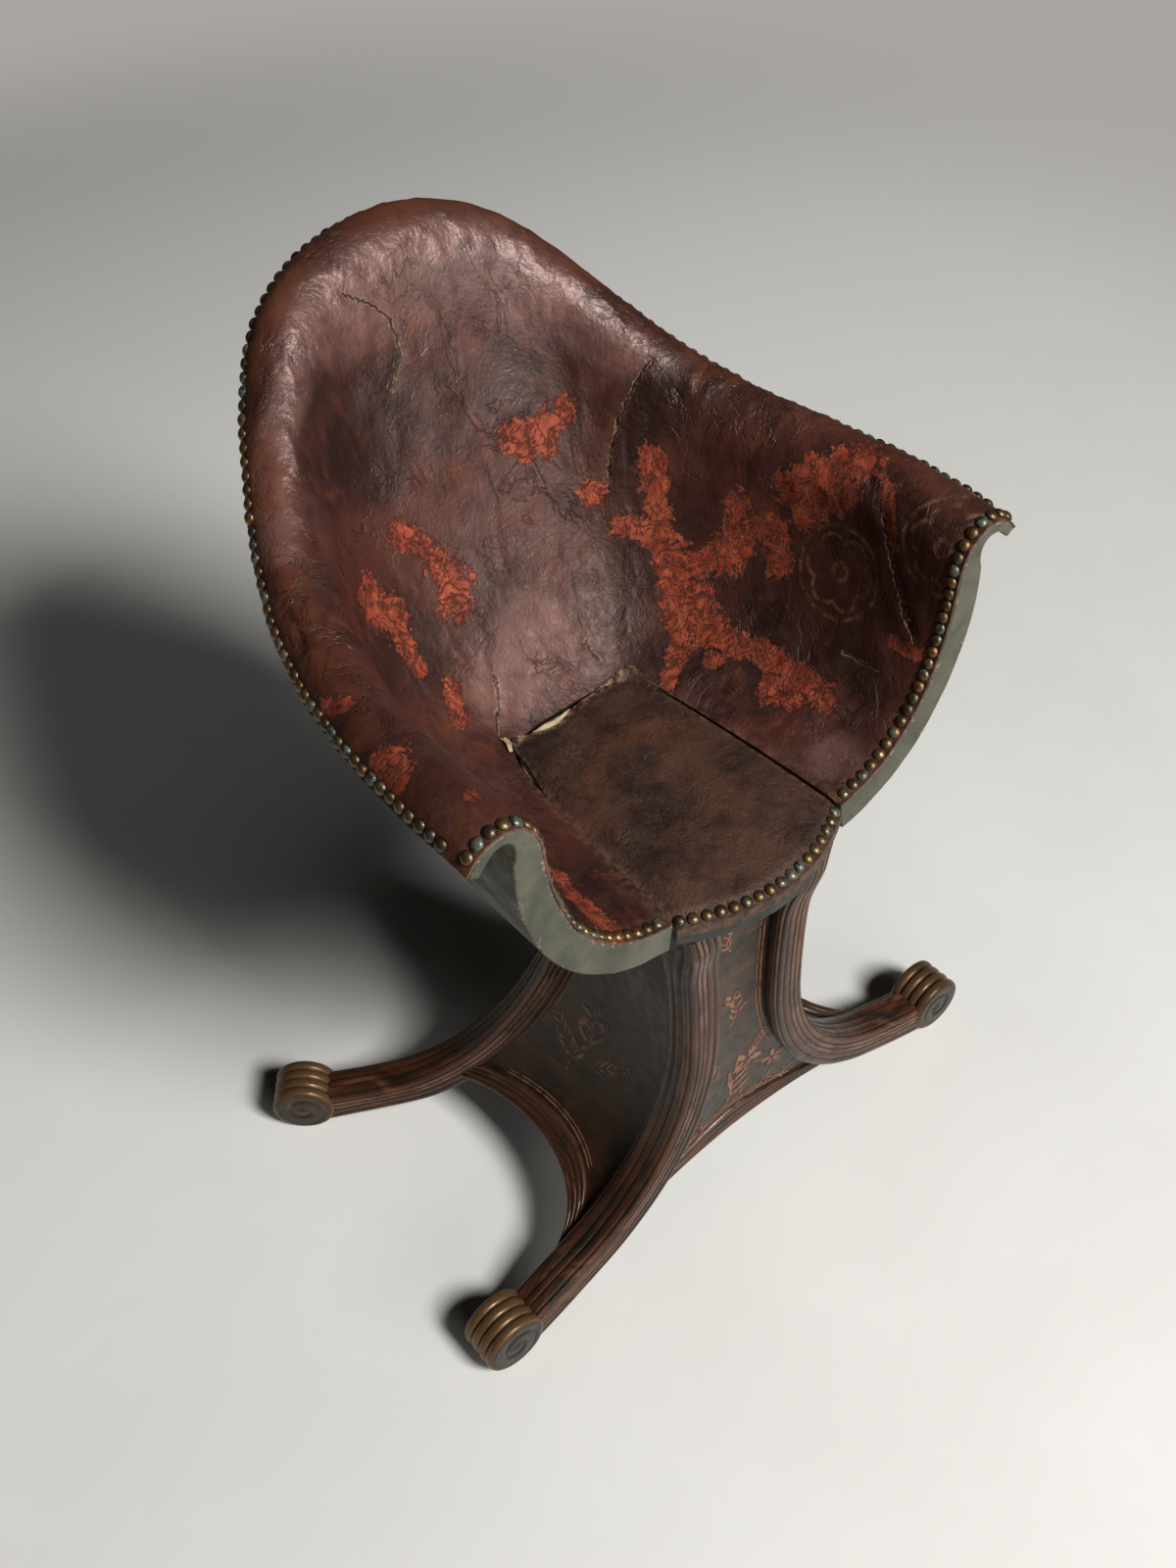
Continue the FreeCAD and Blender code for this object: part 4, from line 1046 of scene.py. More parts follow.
def makeNails(name, spots, outward, seed, node, body="chair"):  # a dome at each spot, turned outwards
    n = nails
    rng = np.random.default_rng(seed)
    shape, faces = nailShape()
    count = len(spots)
    up = unit(outward + rng.normal(0, n["tilt"], (count, 3)))
    side = unit(np.cross(up, rng.normal(0, 1, (count, 3))))
    size = rng.normal(1, n["sizeSpread"], (count, 1, 1))
    points = spots[:, None] + size * (shape @ np.stack([side, np.cross(up, side), up], 1))
    start = (np.arange(count) * len(shape))[:, None, None]
    polys = [(poly[None] + start).reshape(-1, poly.shape[1]) for poly in faces]
    each = np.ones((count, len(shape)))
    age = rng.random((count, 1))**n["agePower"]
    green = (rng.random((count, 1)) > n["greenFrom"]) * rng.random((count, 1))
    crest = np.clip(shape[:, 2] / n["dome"], 0, 1)
    marks = {"age": age * each, "verdigris": green * each, "crest": crest * each}
    fields = {key: value.ravel() for key, value in marks.items()}
    piece = makePiece(name, points.reshape(-1, 3), polys, fields, body, n["sharp"])
    dress(piece, finishes["brass"], "nail_brass", node)


def nailSpots(grid, line):  # even spots along a row of the leather, with the leather's outward direction
    length = runLength(line[:, None], 0)[:, 0]
    count = max(2, int(round(length[-1] / nails["pitch"])))
    spots = alongLine((np.arange(count) + 0.5) / count * length[-1], length, line)
    off = ((grid[None] - spots[:, None, None])**2).sum(-1).reshape(count, -1).argmin(1)
    return spots, unit(gridNormal(grid)).reshape(-1, 3)[off]


def rowAt(grid, distance, axis, end):  # line of the grid at a distance from one of its ends
    line = grid if axis else grid.transpose(1, 0, 2)
    line = line[:, ::-1] if end else line
    length = runLength(line, 1)
    k = (length < distance).sum(1).clip(1, line.shape[1] - 1)
    rows = np.arange(len(line))
    low, high = length[rows, k - 1], length[rows, k]
    part = ((distance - low) / (high - low))[:, None]
    return lerp(line[rows, k - 1], line[rows, k], part)


def makeShellNails():  # a row under the lip's edge and one down each front edge
    n = nails
    rim = rowAt(leatherFace, n["inset"], 1, 1)[n["rimEnds"]:-n["rimEnds"]]
    spots, outward = nailSpots(leatherFace[::2, n["lipColumn"]:], rim)
    makeNails("rimNails", spots, outward, n["seeds"]["rim"], "rim_nails")
    low, high = n["edgeEnds"]
    patches = {"left": leatherFace[:n["edgeColumns"]], "right": leatherFace[-n["edgeColumns"]:]}
    for end, (hand, patch) in enumerate(patches.items()):
        spots, outward = nailSpots(patch, rowAt(leatherFace, n["inset"], 0, end)[low:-high])
        makeNails(hand + "EdgeNails", spots, outward, n["seeds"][hand], hand + "_edge_nails")


makeShellNails()
print("shell nails made")


# the lift-out seat: painted board, stuffing and worn leather

pad = {
    "frontBow": 0.026, "gap": 0.003, "leatherGap": 0.0012, "towGap": 0.0030, "boardGap": 0.0030,
    "backShare": 0.80, "boardLow": 0.4326, "boardHigh": 0.4464, "edgeRise": 0.0138, "crown": 0.0050,
    "acrossCount": 96, "deepCount": 130, "openingFine": 400, "openingCount": 300, "sideCount": 230,
    "backCount": 150, "squareCorner": 0.004, "lap": 0.0026, "lapFrom": 0.001, "lapRows": 24,
    "lapBlock": 200, "sharp": 60,
    # leather
    "sideRoll": 0.10, "frontRoll": 0.07, "backRoll": 0.05, "calmAcross": 0.2, "calmDeep": 0.12,
    "lump": 0.0016, "lumpSize": 0.060, "pucker": 0.0004, "puckerDeep": 0.03, "frontDrop": 0.0045,
    "edgeDrop": 0.0012, "torn": 0.0095, "tornAt": -0.28, "tornHalf": 0.34, "tornLeast": 0.0012,
    "ragged": 0.0007, "raggedSize": 0.012, "pullFrom": 0.90, "cornerTorn": 0.0075, "cornerFrom": 0.75,
    "cornerBack": (0.70, 0.22), "turnDown": 0.0012, "thick": 0.0022, "sideRub": 0.22, "backRub": 0.8,
    "frontRub": 0.15, "rubFrom": 0.1, "nailRows": 14,
    # stuffing, and the torn canvas at the left back corner
    "towBelow": 0.0050, "fluff": 0.0012, "fluffSize": 0.012, "towStand": 0.0042, "towFrom": 0.0004,
    "towOver": 0.0022, "flapX": -0.0655, "flapY": (0.0165, 0.0045), "flapGrid": (16, 8), "flapHalf": 0.0030,
    "flapTaper": 0.4, "flapSway": 0.0015, "flapArch": 0.0016, "flapCurl": 0.0008, "flapThick": 0.0008,
    # board
    "boardGrid": (60, 50, 5), "boardRough": 0.0004, "boardRoughSize": 0.02, "boardRim": 0.02,
    "boardWear": 0.12, "bevel": 0.0012,
}


def openingEdge(share, gap):  # the shell's opening from front (0) to mid back (1), drawn in by the gap
    fine = np.linspace(0, 1, pad["openingFine"])
    line = edgeAndLip(fine)[0]
    run = unit(np.gradient(line, axis=0))
    line = line + np.stack([-run[:, 1], run[:, 0]], -1) * gap
    return alongLine(share, fine, line)


def bowedFront(across):  # the seat's front edge, bowed forward at its middle
    return scoop["seatFrontY"] - pad["gap"] - pad["frontBow"] * (1 - across**2)


def seatPlan(across, deep, gap):  # patch between the bowed front, the opening's sides and its round back
    turn = pad["backShare"]
    side = openingEdge(deep * turn, gap)
    mirror = np.stack([np.sign(across), 0 * across + 1], -1)
    back = openingEdge(1 - (1 - turn) * np.abs(across), gap) * mirror
    half = openingEdge(np.zeros((1, 1)), gap)[..., 0]
    frontY = bowedFront(across) + gap - pad["leatherGap"]
    front = np.stack([across * half, frontY + 0 * half], -1)
    middle = side * np.array([0, 1.0]) + across[..., None] * side * np.array([1.0, 0])
    ruled = lerp(front, back, deep[..., None])
    ends = lerp(np.stack([across * front[-1:, :, 0], 0 * across + front[-1:, :, 1]], -1),
                np.stack([across * back[-1:, :, 0], 0 * across + back[-1:, :, 1]], -1), deep[..., None])
    flat = middle + ruled - ends
    return flat[..., 0], flat[..., 1]


def seatLeatherPlan(across, deep):  # straight sides and back, whose corners lap over the shell's round ones
    c = scoop
    backY = c["seatBackY"] - pad["leatherGap"] - pad["squareCorner"] * across**8
    y = lerp(bowedFront(across), backY, deep)
    back = np.clip((y - c["seatFrontY"]) / (c["seatBackY"] - c["seatFrontY"]), 0, 1)
    opening = openingEdge(np.linspace(0, 1, pad["openingCount"]), 0.0)
    half = np.maximum(lerp(c["seatFrontHalf"], c["seatBackHalf"], back),
                      np.interp(y, opening[:, 1], opening[:, 0]))
    return across * (half - pad["leatherGap"]), y


def lapOver(x, y, top):  # height of a point, lifted onto the shell's leather where it reaches over it
    low = leatherFace[:, :pad["lapRows"]].reshape(-1, 3)
    opening = openingEdge(np.linspace(0, 1, pad["openingCount"]), 0.0)
    side, back = opening[:pad["sideCount"]], opening[::-1][:pad["backCount"]]
    pastSide = np.abs(x) > np.interp(y, side[:, 1], side[:, 0]) - pad["lapFrom"]
    pastBack = y > np.interp(np.abs(x), back[:, 0], back[:, 1]) - pad["lapFrom"]
    outside = pastSide | pastBack
    spots = np.stack([x[outside], y[outside]], -1)[:, None]
    blocks = np.array_split(spots, 1 + len(spots) // pad["lapBlock"])
    near = np.concatenate([((low[:, :2] - block)**2).sum(-1).argmin(1) for block in blocks])
    lifted = top.copy()
    lifted[outside] = np.maximum(top[outside], low[near, 2] + pad["lap"])
    return lifted


def makeSeatLeather(across, deep):  # a low dome less its rolled edges, torn back and lapped over the shell
    p = pad
    x, y = seatLeatherPlan(across, deep)
    spot = np.stack([x, y, 0 * x], -1)
    dome = (1 - across**4) * (1 - (2 * deep - 1)**4)
    fromSide = 1 - np.abs(across)
    sideEdge = 1 - smooth(fromSide / p["sideRoll"])
    frontEdge = 1 - smooth(deep / p["frontRoll"])
    backEdge = 1 - smooth((1 - deep) / p["backRoll"])
    calm = smooth(fromSide / p["calmAcross"]) * smooth(deep / p["calmDeep"])
    lumps = layeredNoise(spot, p["lumpSize"], 4, 31) * p["lump"] * calm
    wave = np.cos(runLength(spot[:, :1], 0) * 2 * np.pi / nails["pitch"]) * bell(deep, p["puckerDeep"])
    top = p["boardHigh"] + p["edgeRise"] + p["crown"] * dome + lumps - wave * p["pucker"]
    top = top - p["frontDrop"] * frontEdge - p["edgeDrop"] * sideEdge - p["edgeDrop"] * backEdge
    ragged = layeredNoise(spot * [1, 0, 0], p["raggedSize"], 3, 37) * p["ragged"]
    tear = p["torn"] * bell(across - p["tornAt"], p["tornHalf"]) + p["tornLeast"] + ragged
    pull = smooth((deep - p["pullFrom"]) / (1 - p["pullFrom"]))
    cornerFrom, cornerOver = p["cornerBack"]
    corner = smooth((-across - p["cornerFrom"]) / (1 - p["cornerFrom"]))
    x = x + p["cornerTorn"] * corner * smooth((deep - cornerFrom) / cornerOver)
    y = y - pull * tear
    skin = np.stack([x, y, lapOver(x, y, top)], -1)
    turned = deep[..., None] == 0  # the front edge is turned down over the board
    folded = np.where(turned, p["boardHigh"] - p["turnDown"], skin[..., 2:] - p["thick"])
    under = np.concatenate([skin[..., :2], folded], -1)
    points, faces, onSkin = latticeSkin(np.stack([skin, under], 2))
    rub = np.maximum(p["sideRub"] * sideEdge, p["backRub"] * backEdge) * smooth(deep / p["rubFrom"])
    rub = np.clip(rub + p["frontRub"] * frontEdge, 0, 1)
    piece = makePiece("seatLeather", points, faces, {"rub": doubled(rub, onSkin)}, "seat", p["sharp"])
    dress(piece, finishes["seatHide"], "seat_hide", "seat_leather")
    line = rowAt(skin, nails["inset"], 1, 0)[1:-1]
    spots, outward = nailSpots(skin[:, :p["nailRows"]], line)
    makeNails("seatFrontNails", spots, outward, nails["seeds"]["seat"], "seat_front_nails", "seat")
    return top, frontEdge, skin[:, -1]


def makeSeatStuffing(across, deep, top, frontEdge, backEdge):  # tow, standing up where the leather is torn
    p = pad
    x, y = seatPlan(across, deep, p["towGap"])
    fluff = layeredNoise(np.stack([x, y, 0 * x], -1), p["fluffSize"], 3, 41) * p["fluff"]
    high = top - p["towBelow"] + fluff * (1 - frontEdge)
    bare = y - np.interp(x, backEdge[:, 0], backEdge[:, 1])
    high = high + p["towStand"] * smooth((bare - p["towFrom"]) / p["towOver"])
    low = p["boardHigh"] + 0 * high
    stuffing = np.stack([np.stack([x, y, high], -1), np.stack([x, y, low], -1)], 2)
    t = np.linspace(0, 1, p["flapGrid"][0])[:, None]
    s = np.linspace(-1, 1, p["flapGrid"][1])[None]
    x = p["flapX"] + p["flapHalf"] * s * (1 - p["flapTaper"] * t) + p["flapSway"] * np.sin(4 * t)
    y = lerp(p["flapY"][0], p["flapY"][1], t) + 0 * s
    z = lapOver(x, y, 0 * x + p["boardHigh"] + p["edgeRise"])
    z = z + p["flapArch"] * np.sin(np.pi * t) + p["flapCurl"] * s**2
    flap = np.stack([np.stack([x, y, z], -1), np.stack([x, y, z - p["flapThick"]], -1)], 2)
    points, faces = joined([(*latticeSkin(block)[:2], {}) for block in (stuffing, flap)])[:2]
    piece = makePiece("seatStuffing", points, faces, None, "seat", p["sharp"])
    dress(piece, finishes["tow"], "stuffing", "seat_padding")


def makeSeatBoard():  # the seat's plan between two levels, a little uneven, worn at its rim
    p = pad
    acrossCount, deepCount, layers = p["boardGrid"]
    across = np.linspace(-1, 1, acrossCount)[:, None]
    deep = np.linspace(0, 1, deepCount)[None]
    x, y = seatPlan(across, deep, p["boardGap"])
    levels = np.linspace(p["boardHigh"], p["boardLow"], layers)
    block = np.stack([np.stack([x, y, 0 * x + level], -1) for level in levels], 2)
    rough = layeredNoise(block, p["boardRoughSize"], 3, 47) * p["boardRough"]
    block = block + rough[..., None] * np.array([1, 1, 0])
    points, faces, onSkin = latticeSkin(block)
    rim = np.maximum(np.abs(across)**20, 1 - smooth(deep / p["boardRim"]))[..., None]
    edge = rim * np.abs(np.linspace(-1, 1, layers))**4 * p["boardWear"]
    piece = makePiece("seatBoard", points, faces, {"edge": edge[onSkin]}, "seat")
    softenEdges(piece, p["bevel"])
    dress(piece, finishes["seatPaint"], "seat_paint", "seat_board")


def makeSeat():  # grids that close up towards the edges, for the leather and the stuffing
    across = np.sin(np.linspace(-1, 1, pad["acrossCount"]) * np.pi / 2)[:, None]
    deep = (0.5 - 0.5 * np.cos(np.linspace(0, 1, pad["deepCount"]) * np.pi))[None]
    makeSeatStuffing(across, deep, *makeSeatLeather(across, deep))
    makeSeatBoard()


makeSeat()
print("seat made")


# pedestal legs: bundles of reeds that sweep out to scroll feet

leg = {
    "footHalfSpan": 0.270, "footY": {"front": -0.190, "back": 0.131}, "footRadius": 0.030, "width": 0.036,
    "thick": 0.034, "columnHalf": 0.048, "columnY": {"front": -0.190, "back": -0.045}, "flare": 0.010,
    "top": 0.412, "waist": {"front": 0.270, "back": 0.300}, "topShare": 0.3, "topHandles": (0.4, 0.7),
    "handles": {"front": ((0.0, 0.59), (0.32, 0.22)), "back": ((0.10, 0.63), (0.43, 0.09))}, "steps": 14,
    "neckRise": 0.004, "neckAngle": 150.0, "runStep": 0.01, "innerToe": ((0.035, 0.010), (0.004, 0.0012)),
    "capRise": 0.0195, "capFlare": 0.004, "capGap": 0.0004, "rows": 140, "sharp": 50,
    # reeds, from the inner side round to the middle of the outer one
    "reedWidths": [1.0, 0.7, 1.0, 1.0, 0.7, 0.7, 1.2, 1.4, 1.0], "reedDepth": 0.0015, "reedSteps": 8,
    "cornerRadius": 0.0085, "innerRadius": 0.005, "hiddenHalf": 0.005, "sectionCounts": (10, 16, 20),
    "stripeFrom": 0.6, "stripeOver": 0.3, "fanStart": 0.345, "fan": 0.55, "fanPower": 1.6, "notch": 0.011,
    "notchWidth": 0.22,
}
drum = {
    "width": 0.041, "around": 96, "sideRings": 22, "hub": 0.0006, "shoulder": 0.0045, "ribs": 4,
    "ribSteps": 9, "ribDepth": 0.0030, "rimIn": 0.0005, "spiralStart": 0.0060, "spiralPitch": 0.0120,
    "spiralLaps": 2, "spiralWidth": 0.0018, "spiralDepth": 0.0017, "spiralEnd": 0.006, "spiralFade": 0.008,
    "boss": 0.005, "bossHeight": 0.0012, "sunk": 0.001, "floorGap": 0.0002,
}
sides = {"left": -1, "right": 1}


def legFrame(end, hand):  # corner of the column, direction out in plan, and distance to the foot
    corner = np.array([sides[hand] * leg["columnHalf"], leg["columnY"][end], 0.0])
    foot = np.array([sides[hand] * leg["footHalfSpan"], leg["footY"][end], 0.0])
    run = np.linalg.norm(foot - corner)
    return corner, (foot - corner) / run, run


def legCentre(end, share):  # (distance out, height) of the centre line; 0 is the top, 1 the scroll's neck
    waist = leg["waist"][end]
    reach = legFrame(end, "right")[2] - leg["footRadius"]
    top = [np.array([leg["flare"], leg["top"]])]
    top += [np.array([0, lerp(leg["top"], waist, t)]) for t in leg["topHandles"]] + [np.array([0, waist])]
    sweep = [top[3]] + [np.array([reach * out, waist * height]) for out, height in leg["handles"][end]]
    sweep.append(np.array([reach, leg["footRadius"] + leg["neckRise"]]))
    share = np.asarray(share, float)[..., None]
    upper = bezier(top, share / leg["topShare"])
    lower = bezier(sweep, (share - leg["topShare"]) / (1 - leg["topShare"]))
    return np.where(share < leg["topShare"], upper, lower)


def legPoint(end, hand, share):  # point of the centre line in space
    corner, along, _ = legFrame(end, hand)
    flat = legCentre(end, share)
    return corner + along * flat[..., :1] + upward * flat[..., 1:]


def legEdges(end, count):  # outer and inner outline of the sawn leg, from the seat down to the scroll
    run = legFrame(end, "right")[2]
    share = np.linspace(0, 1, leg["steps"] + 1)
    here = legCentre(end, share)
    before, after = np.maximum(share - leg["runStep"], 0), np.minimum(share + leg["runStep"], 1)
    ahead = legCentre(end, after) - legCentre(end, before)
    across = unit(np.stack([-ahead[:, 1], ahead[:, 0]], -1)) * leg["thick"] / 2
    outer, inner = here + across, here - across
    outer[0, 1] = inner[0, 1] = leg["top"]
    radius, angle = leg["footRadius"], math.radians(leg["neckAngle"])
    neck = np.array([run + radius * math.cos(angle), radius + radius * math.sin(angle)])
    outer = np.concatenate([outer[:-1], [neck]])
    inner = np.concatenate([inner[:-2], [[run - back, height] for back, height in leg["innerToe"]]])
    cap = np.array([[leg["capFlare"], leg["capRise"]]])
    outer, inner = (np.concatenate([line[:1] + cap, line]) for line in (outer, inner))
    return throughPoints(outer, count), throughPoints(inner, count)


def reedSection():  # once round the leg: (across, through), with the height of the reeds
    half, deep, r, back = leg["width"] / 2, leg["thick"] / 2, leg["cornerRadius"], leg["innerRadius"]
    few, cornerCount, many = leg["sectionCounts"]
    turn = np.linspace(0, np.pi / 2, cornerCount)
    inner = np.stack([np.linspace(-leg["hiddenHalf"], -half + back, few), np.full(few, -deep)], -1)
    innerCorner = np.stack([-half + back - back * np.sin(turn), -deep + back - back * np.cos(turn)], -1)
    left = np.stack([np.full(many, -half), np.linspace(-deep + back, deep - r, many)], -1)
    corner = np.stack([-half + r - r * np.cos(turn), deep - r + r * np.sin(turn)], -1)
    outer = np.stack([np.linspace(-half + r, 0, many), np.full(many, deep)], -1)
    path = np.concatenate([inner, innerCorner[1:], left[1:], corner[1:], outer[1:]])
    path = np.concatenate([path, (path * [-1, 1])[::-1][1:]])
    length = runLength(path[:, None], 0)[:, 0]
    widths = np.array(leg["reedWidths"] + leg["reedWidths"][-2::-1], float)
    bounds = np.concatenate([[0], np.cumsum(widths)]) / widths.sum()
    steps = [np.linspace(*ends, leg["reedSteps"], endpoint=False) for ends in zip(bounds[:-1], bounds[1:])]
    at = np.concatenate(steps + [[1.0]])
    path = alongLine(at * length[-1], length, path)
    reed = np.minimum(np.searchsorted(bounds, at, "right") - 1, len(widths) - 1)
    bead = beadRound((at - bounds[reed]) / (bounds[reed + 1] - bounds[reed]))
    bead[[0, -1]] = 0
    run = np.gradient(path, axis=0)
    outward = unit(np.stack([-run[:, 1], run[:, 0]], -1))
    size = np.sqrt(widths[reed] / widths.max())
    sunk = (bead - 1) * leg["reedDepth"] * size
    stripe = smooth((bead - leg["stripeFrom"]) / leg["stripeOver"]) * (widths[reed] == widths.min())
    return path + outward * sunk[:, None], bead * size, stripe


def legBody(end, hand):  # the section carried down between the two outlines, fanned and notched at its top
    corner, along, _ = legFrame(end, hand)
    across = np.cross(upward, along)
    outer, inner = legEdges(end, leg["rows"])
    section, bead, stripe = reedSection()
    middle, through = (outer + inner) / 2, (outer - inner) / 2
    thick = np.linalg.norm(through, axis=1)[:, None]
    fan = smooth((middle[:, 1] - leg["fanStart"]) / (leg["top"] - leg["fanStart"]))[:, None]
    fan = fan**leg["fanPower"]
    x, t = section[None, :, 0], section[None, :, 1] / (leg["thick"] / 2)
    notch = bell(x, leg["notchWidth"] * leg["width"]) * leg["notch"] * fan * (t > 0)
    x = x * (1 + leg["fan"] * fan)
    toward = through / thick
    flat = middle[:, None] + toward[:, None] * (thick * t - notch)[..., None]
    points = corner + along * flat[..., :1] + upward * flat[..., 1:] + across * x[..., None]
    points[..., 2] = np.minimum(points[..., 2], leg["top"] + leg["capRise"] - leg["capGap"])
    spots, faces = tubeSkin(points)
    fields = {"gilt": 0.0, "crest": bead[None], "stripe": stripe[None], "girth": runLength(points, 1),
              "run": runLength(points, 0)}
    return spots, faces, {key: np.append(np.broadcast_to(value, points.shape[:2]).ravel(), [0, 0])
                          for key, value in fields.items()}


def scrollDrum(end, hand):  # rings from one hub over the ribs to the other hub, a spiral cut in each side
    d = drum
    corner, along, run = legFrame(end, hand)
    across = np.cross(upward, along)
    radius, half = leg["footRadius"], d["width"] / 2
    turn = np.linspace(0, 2 * np.pi, d["around"], endpoint=False)[:, None]
    sideR = np.linspace(d["hub"], radius - d["shoulder"], d["sideRings"])
    ribAt = np.linspace(0, 1, d["ribs"] * d["ribSteps"] + 1)
    bead = beadRound(ribAt * d["ribs"] % 1)
    bead[[0, -1]] = 0
    flat = 0 * sideR
    r = np.concatenate([sideR, radius - d["ribDepth"] * (1 - bead), sideR[::-1]])[None]
    ribW = lerp(d["rimIn"] - half, half - d["rimIn"], ribAt)
    w = np.concatenate([flat - half, ribW, flat + half])[None]
    onRibs = np.concatenate([flat, 0 * bead + 1, flat])
    spiral = 0.0
    for lap in range(d["spiralLaps"]):
        laps = (turn - math.radians(leg["neckAngle"])) % (2 * np.pi) / (2 * np.pi) + lap
        line = d["spiralStart"] + d["spiralPitch"] * laps
        fade = smooth((radius - d["spiralEnd"] - line) / d["spiralFade"])
        spiral = np.maximum(spiral, bell(r - line, d["spiralWidth"]) * fade)
    dish = (1 - onRibs) * (d["spiralDepth"] * spiral - d["bossHeight"] * bell(r, d["boss"]))
    w = w - np.sign(w) * dish
    out, high = run + r * np.cos(turn), radius - d["sunk"] + r * np.sin(turn)
    points = corner + along * out[..., None] + upward * high[..., None] + across * w[..., None]
    points[..., 2] = np.maximum(points[..., 2], d["floorGap"])
    spots, faces = tubeSkin(points.transpose(1, 0, 2))
    crest = np.concatenate([flat, bead, flat])
    marks = {key: np.append(np.repeat(value, d["around"]), [0, 0])
             for key, value in (("crest", crest), ("gilt", onRibs))}
    return spots, faces, {"stripe": 0.0, "girth": 0.0, "run": spots[:, 2], **marks}


def makeLegs():  # each leg and its scroll as one piece
    for end in ("front", "back"):
        for hand in sides:
            points, faces, fields = joined([legBody(end, hand), scrollDrum(end, hand)])
            piece = makePiece("leg" + end.title() + hand.title(), points, faces, fields, sharp=leg["sharp"])
            dress(piece, finishes["lacquer"], "lacquer", "leg_%s_%s" % (end, hand))


makeLegs()
print("legs made")


# hollow panels between the legs, with a reeded band along each arch

panel = {
    "thick": 0.012, "hollow": 0.007, "across": 90, "upperRows": 44, "bandRows": 34, "band": 0.026,
    "bandReeds": 4, "bandProud": 0.0030, "bandReedDepth": 0.0020, "bandLead": 0.08, "bandMost": 0.4,
    "rowPower": 0.9, "archBase": 0.029, "archFrom": 0.35, "end": 0.93, "fineCount": 500, "evening": 2,
    "step": 0.01, "sharp": 50,
    # axis, middle, half width and top
    "arches": {"front": (0, 0.0, 0.190, 0.072), "back": (0, 0.0, 0.190, 0.090),
               "left": (1, -0.0515, 0.128, 0.076), "right": (1, -0.0515, 0.128, 0.076)},
    "pairs": {"front": (("front", "left"), ("front", "right")),
              "back": (("back", "right"), ("back", "left")),
              "left": (("back", "left"), ("front", "left")),
              "right": (("front", "right"), ("back", "right"))},
}


def legPair(name, share):  # points of the two legs beside a panel
    first, second = panel["pairs"][name]
    return legPoint(*first, share), legPoint(*second, share)


def panelPoint(name, across, share, proud=0.0):  # across 0 to 1 between two legs, share down them
    across, share, proud = np.broadcast_arrays(np.asarray(across, float), np.asarray(share, float), proud)
    one, two = legPair(name, share)
    below = (sum(legPair(name, share + panel["step"])) - one - two) / 2
    outward = unit(np.cross(below, two - one))
    sink = panel["hollow"] * 4 * across * (1 - across) - panel["thick"] / 2 - proud
    return one + (two - one) * across[..., None] - outward * sink[..., None]


def archShare(name, across, evening):  # where the arch cuts the panel, as a share down the legs
    axis, middle, half, top = panel["arches"][name]
    share = np.linspace(panel["archFrom"], panel["end"], panel["fineCount"])[None]
    spot = panelPoint(name, across[:, None], share, -panel["thick"] / 2)
    base = panel["archBase"]
    inside = ((spot[..., axis] - middle) / half)**2 + ((spot[..., 2] - base) / (top - base))**2 < 1
    inside = inside | (spot[..., 2] < base)
    return evenedOut(np.where(inside.any(1), share[0][inside.argmax(1)], panel["end"]), evening)


def downSpeed(name, across, share):  # metres down a panel for one whole share
    step = panelPoint(name, across, share) - panelPoint(name, across, share - panel["step"])
    return np.linalg.norm(step, axis=-1) / panel["step"]


def makePanels():  # a hollow face down to the band, then the band's reeds down to the arch
    p = panel
    for name in p["pairs"]:
        across = np.linspace(0.0, 1.0, p["across"])
        end = archShare(name, across, p["evening"])
        band = np.minimum(p["band"] / downSpeed(name, across, end), p["bandMost"] * end)
        upper = lerp(0.0, (end - band)[:, None], np.linspace(0, 1, p["upperRows"])[None]**p["rowPower"])
        k = np.linspace(0, 1, p["bandRows"] + 1)[1:]
        share = np.concatenate([upper, (end - band)[:, None] + band[:, None] * k[None]], 1)
        bead = beadRound(k * p["bandReeds"] % 1)
        bead[-1] = 0
        plain = np.zeros(p["upperRows"])
        reeds = p["bandProud"] * smooth(k / p["bandLead"]) - p["bandReedDepth"] * (1 - bead)
        face = panelPoint(name, across[:, None], share, np.concatenate([plain, reeds])[None])
        back = panelPoint(name, across[:, None], share, -p["thick"])
        points, faces, onSkin = latticeSkin(np.stack([face, back], 2))
        crest = np.broadcast_to(np.concatenate([plain, bead])[None], face.shape[:2])
        fields = {"crest": np.stack([crest, 0 * crest], 2)[onSkin], "gilt": np.zeros(len(points)),
                  "girth": doubled(runLength(face, 1), onSkin), "run": doubled(runLength(face, 0), onSkin)}
        piece = makePiece("panel" + name.title(), points, faces, fields, sharp=p["sharp"])
        dress(piece, finishes["lacquer"], "lacquer", "panel_" + name)


makePanels()
print("panels made")


# painted ornament: ribbons of copper laid on the panels

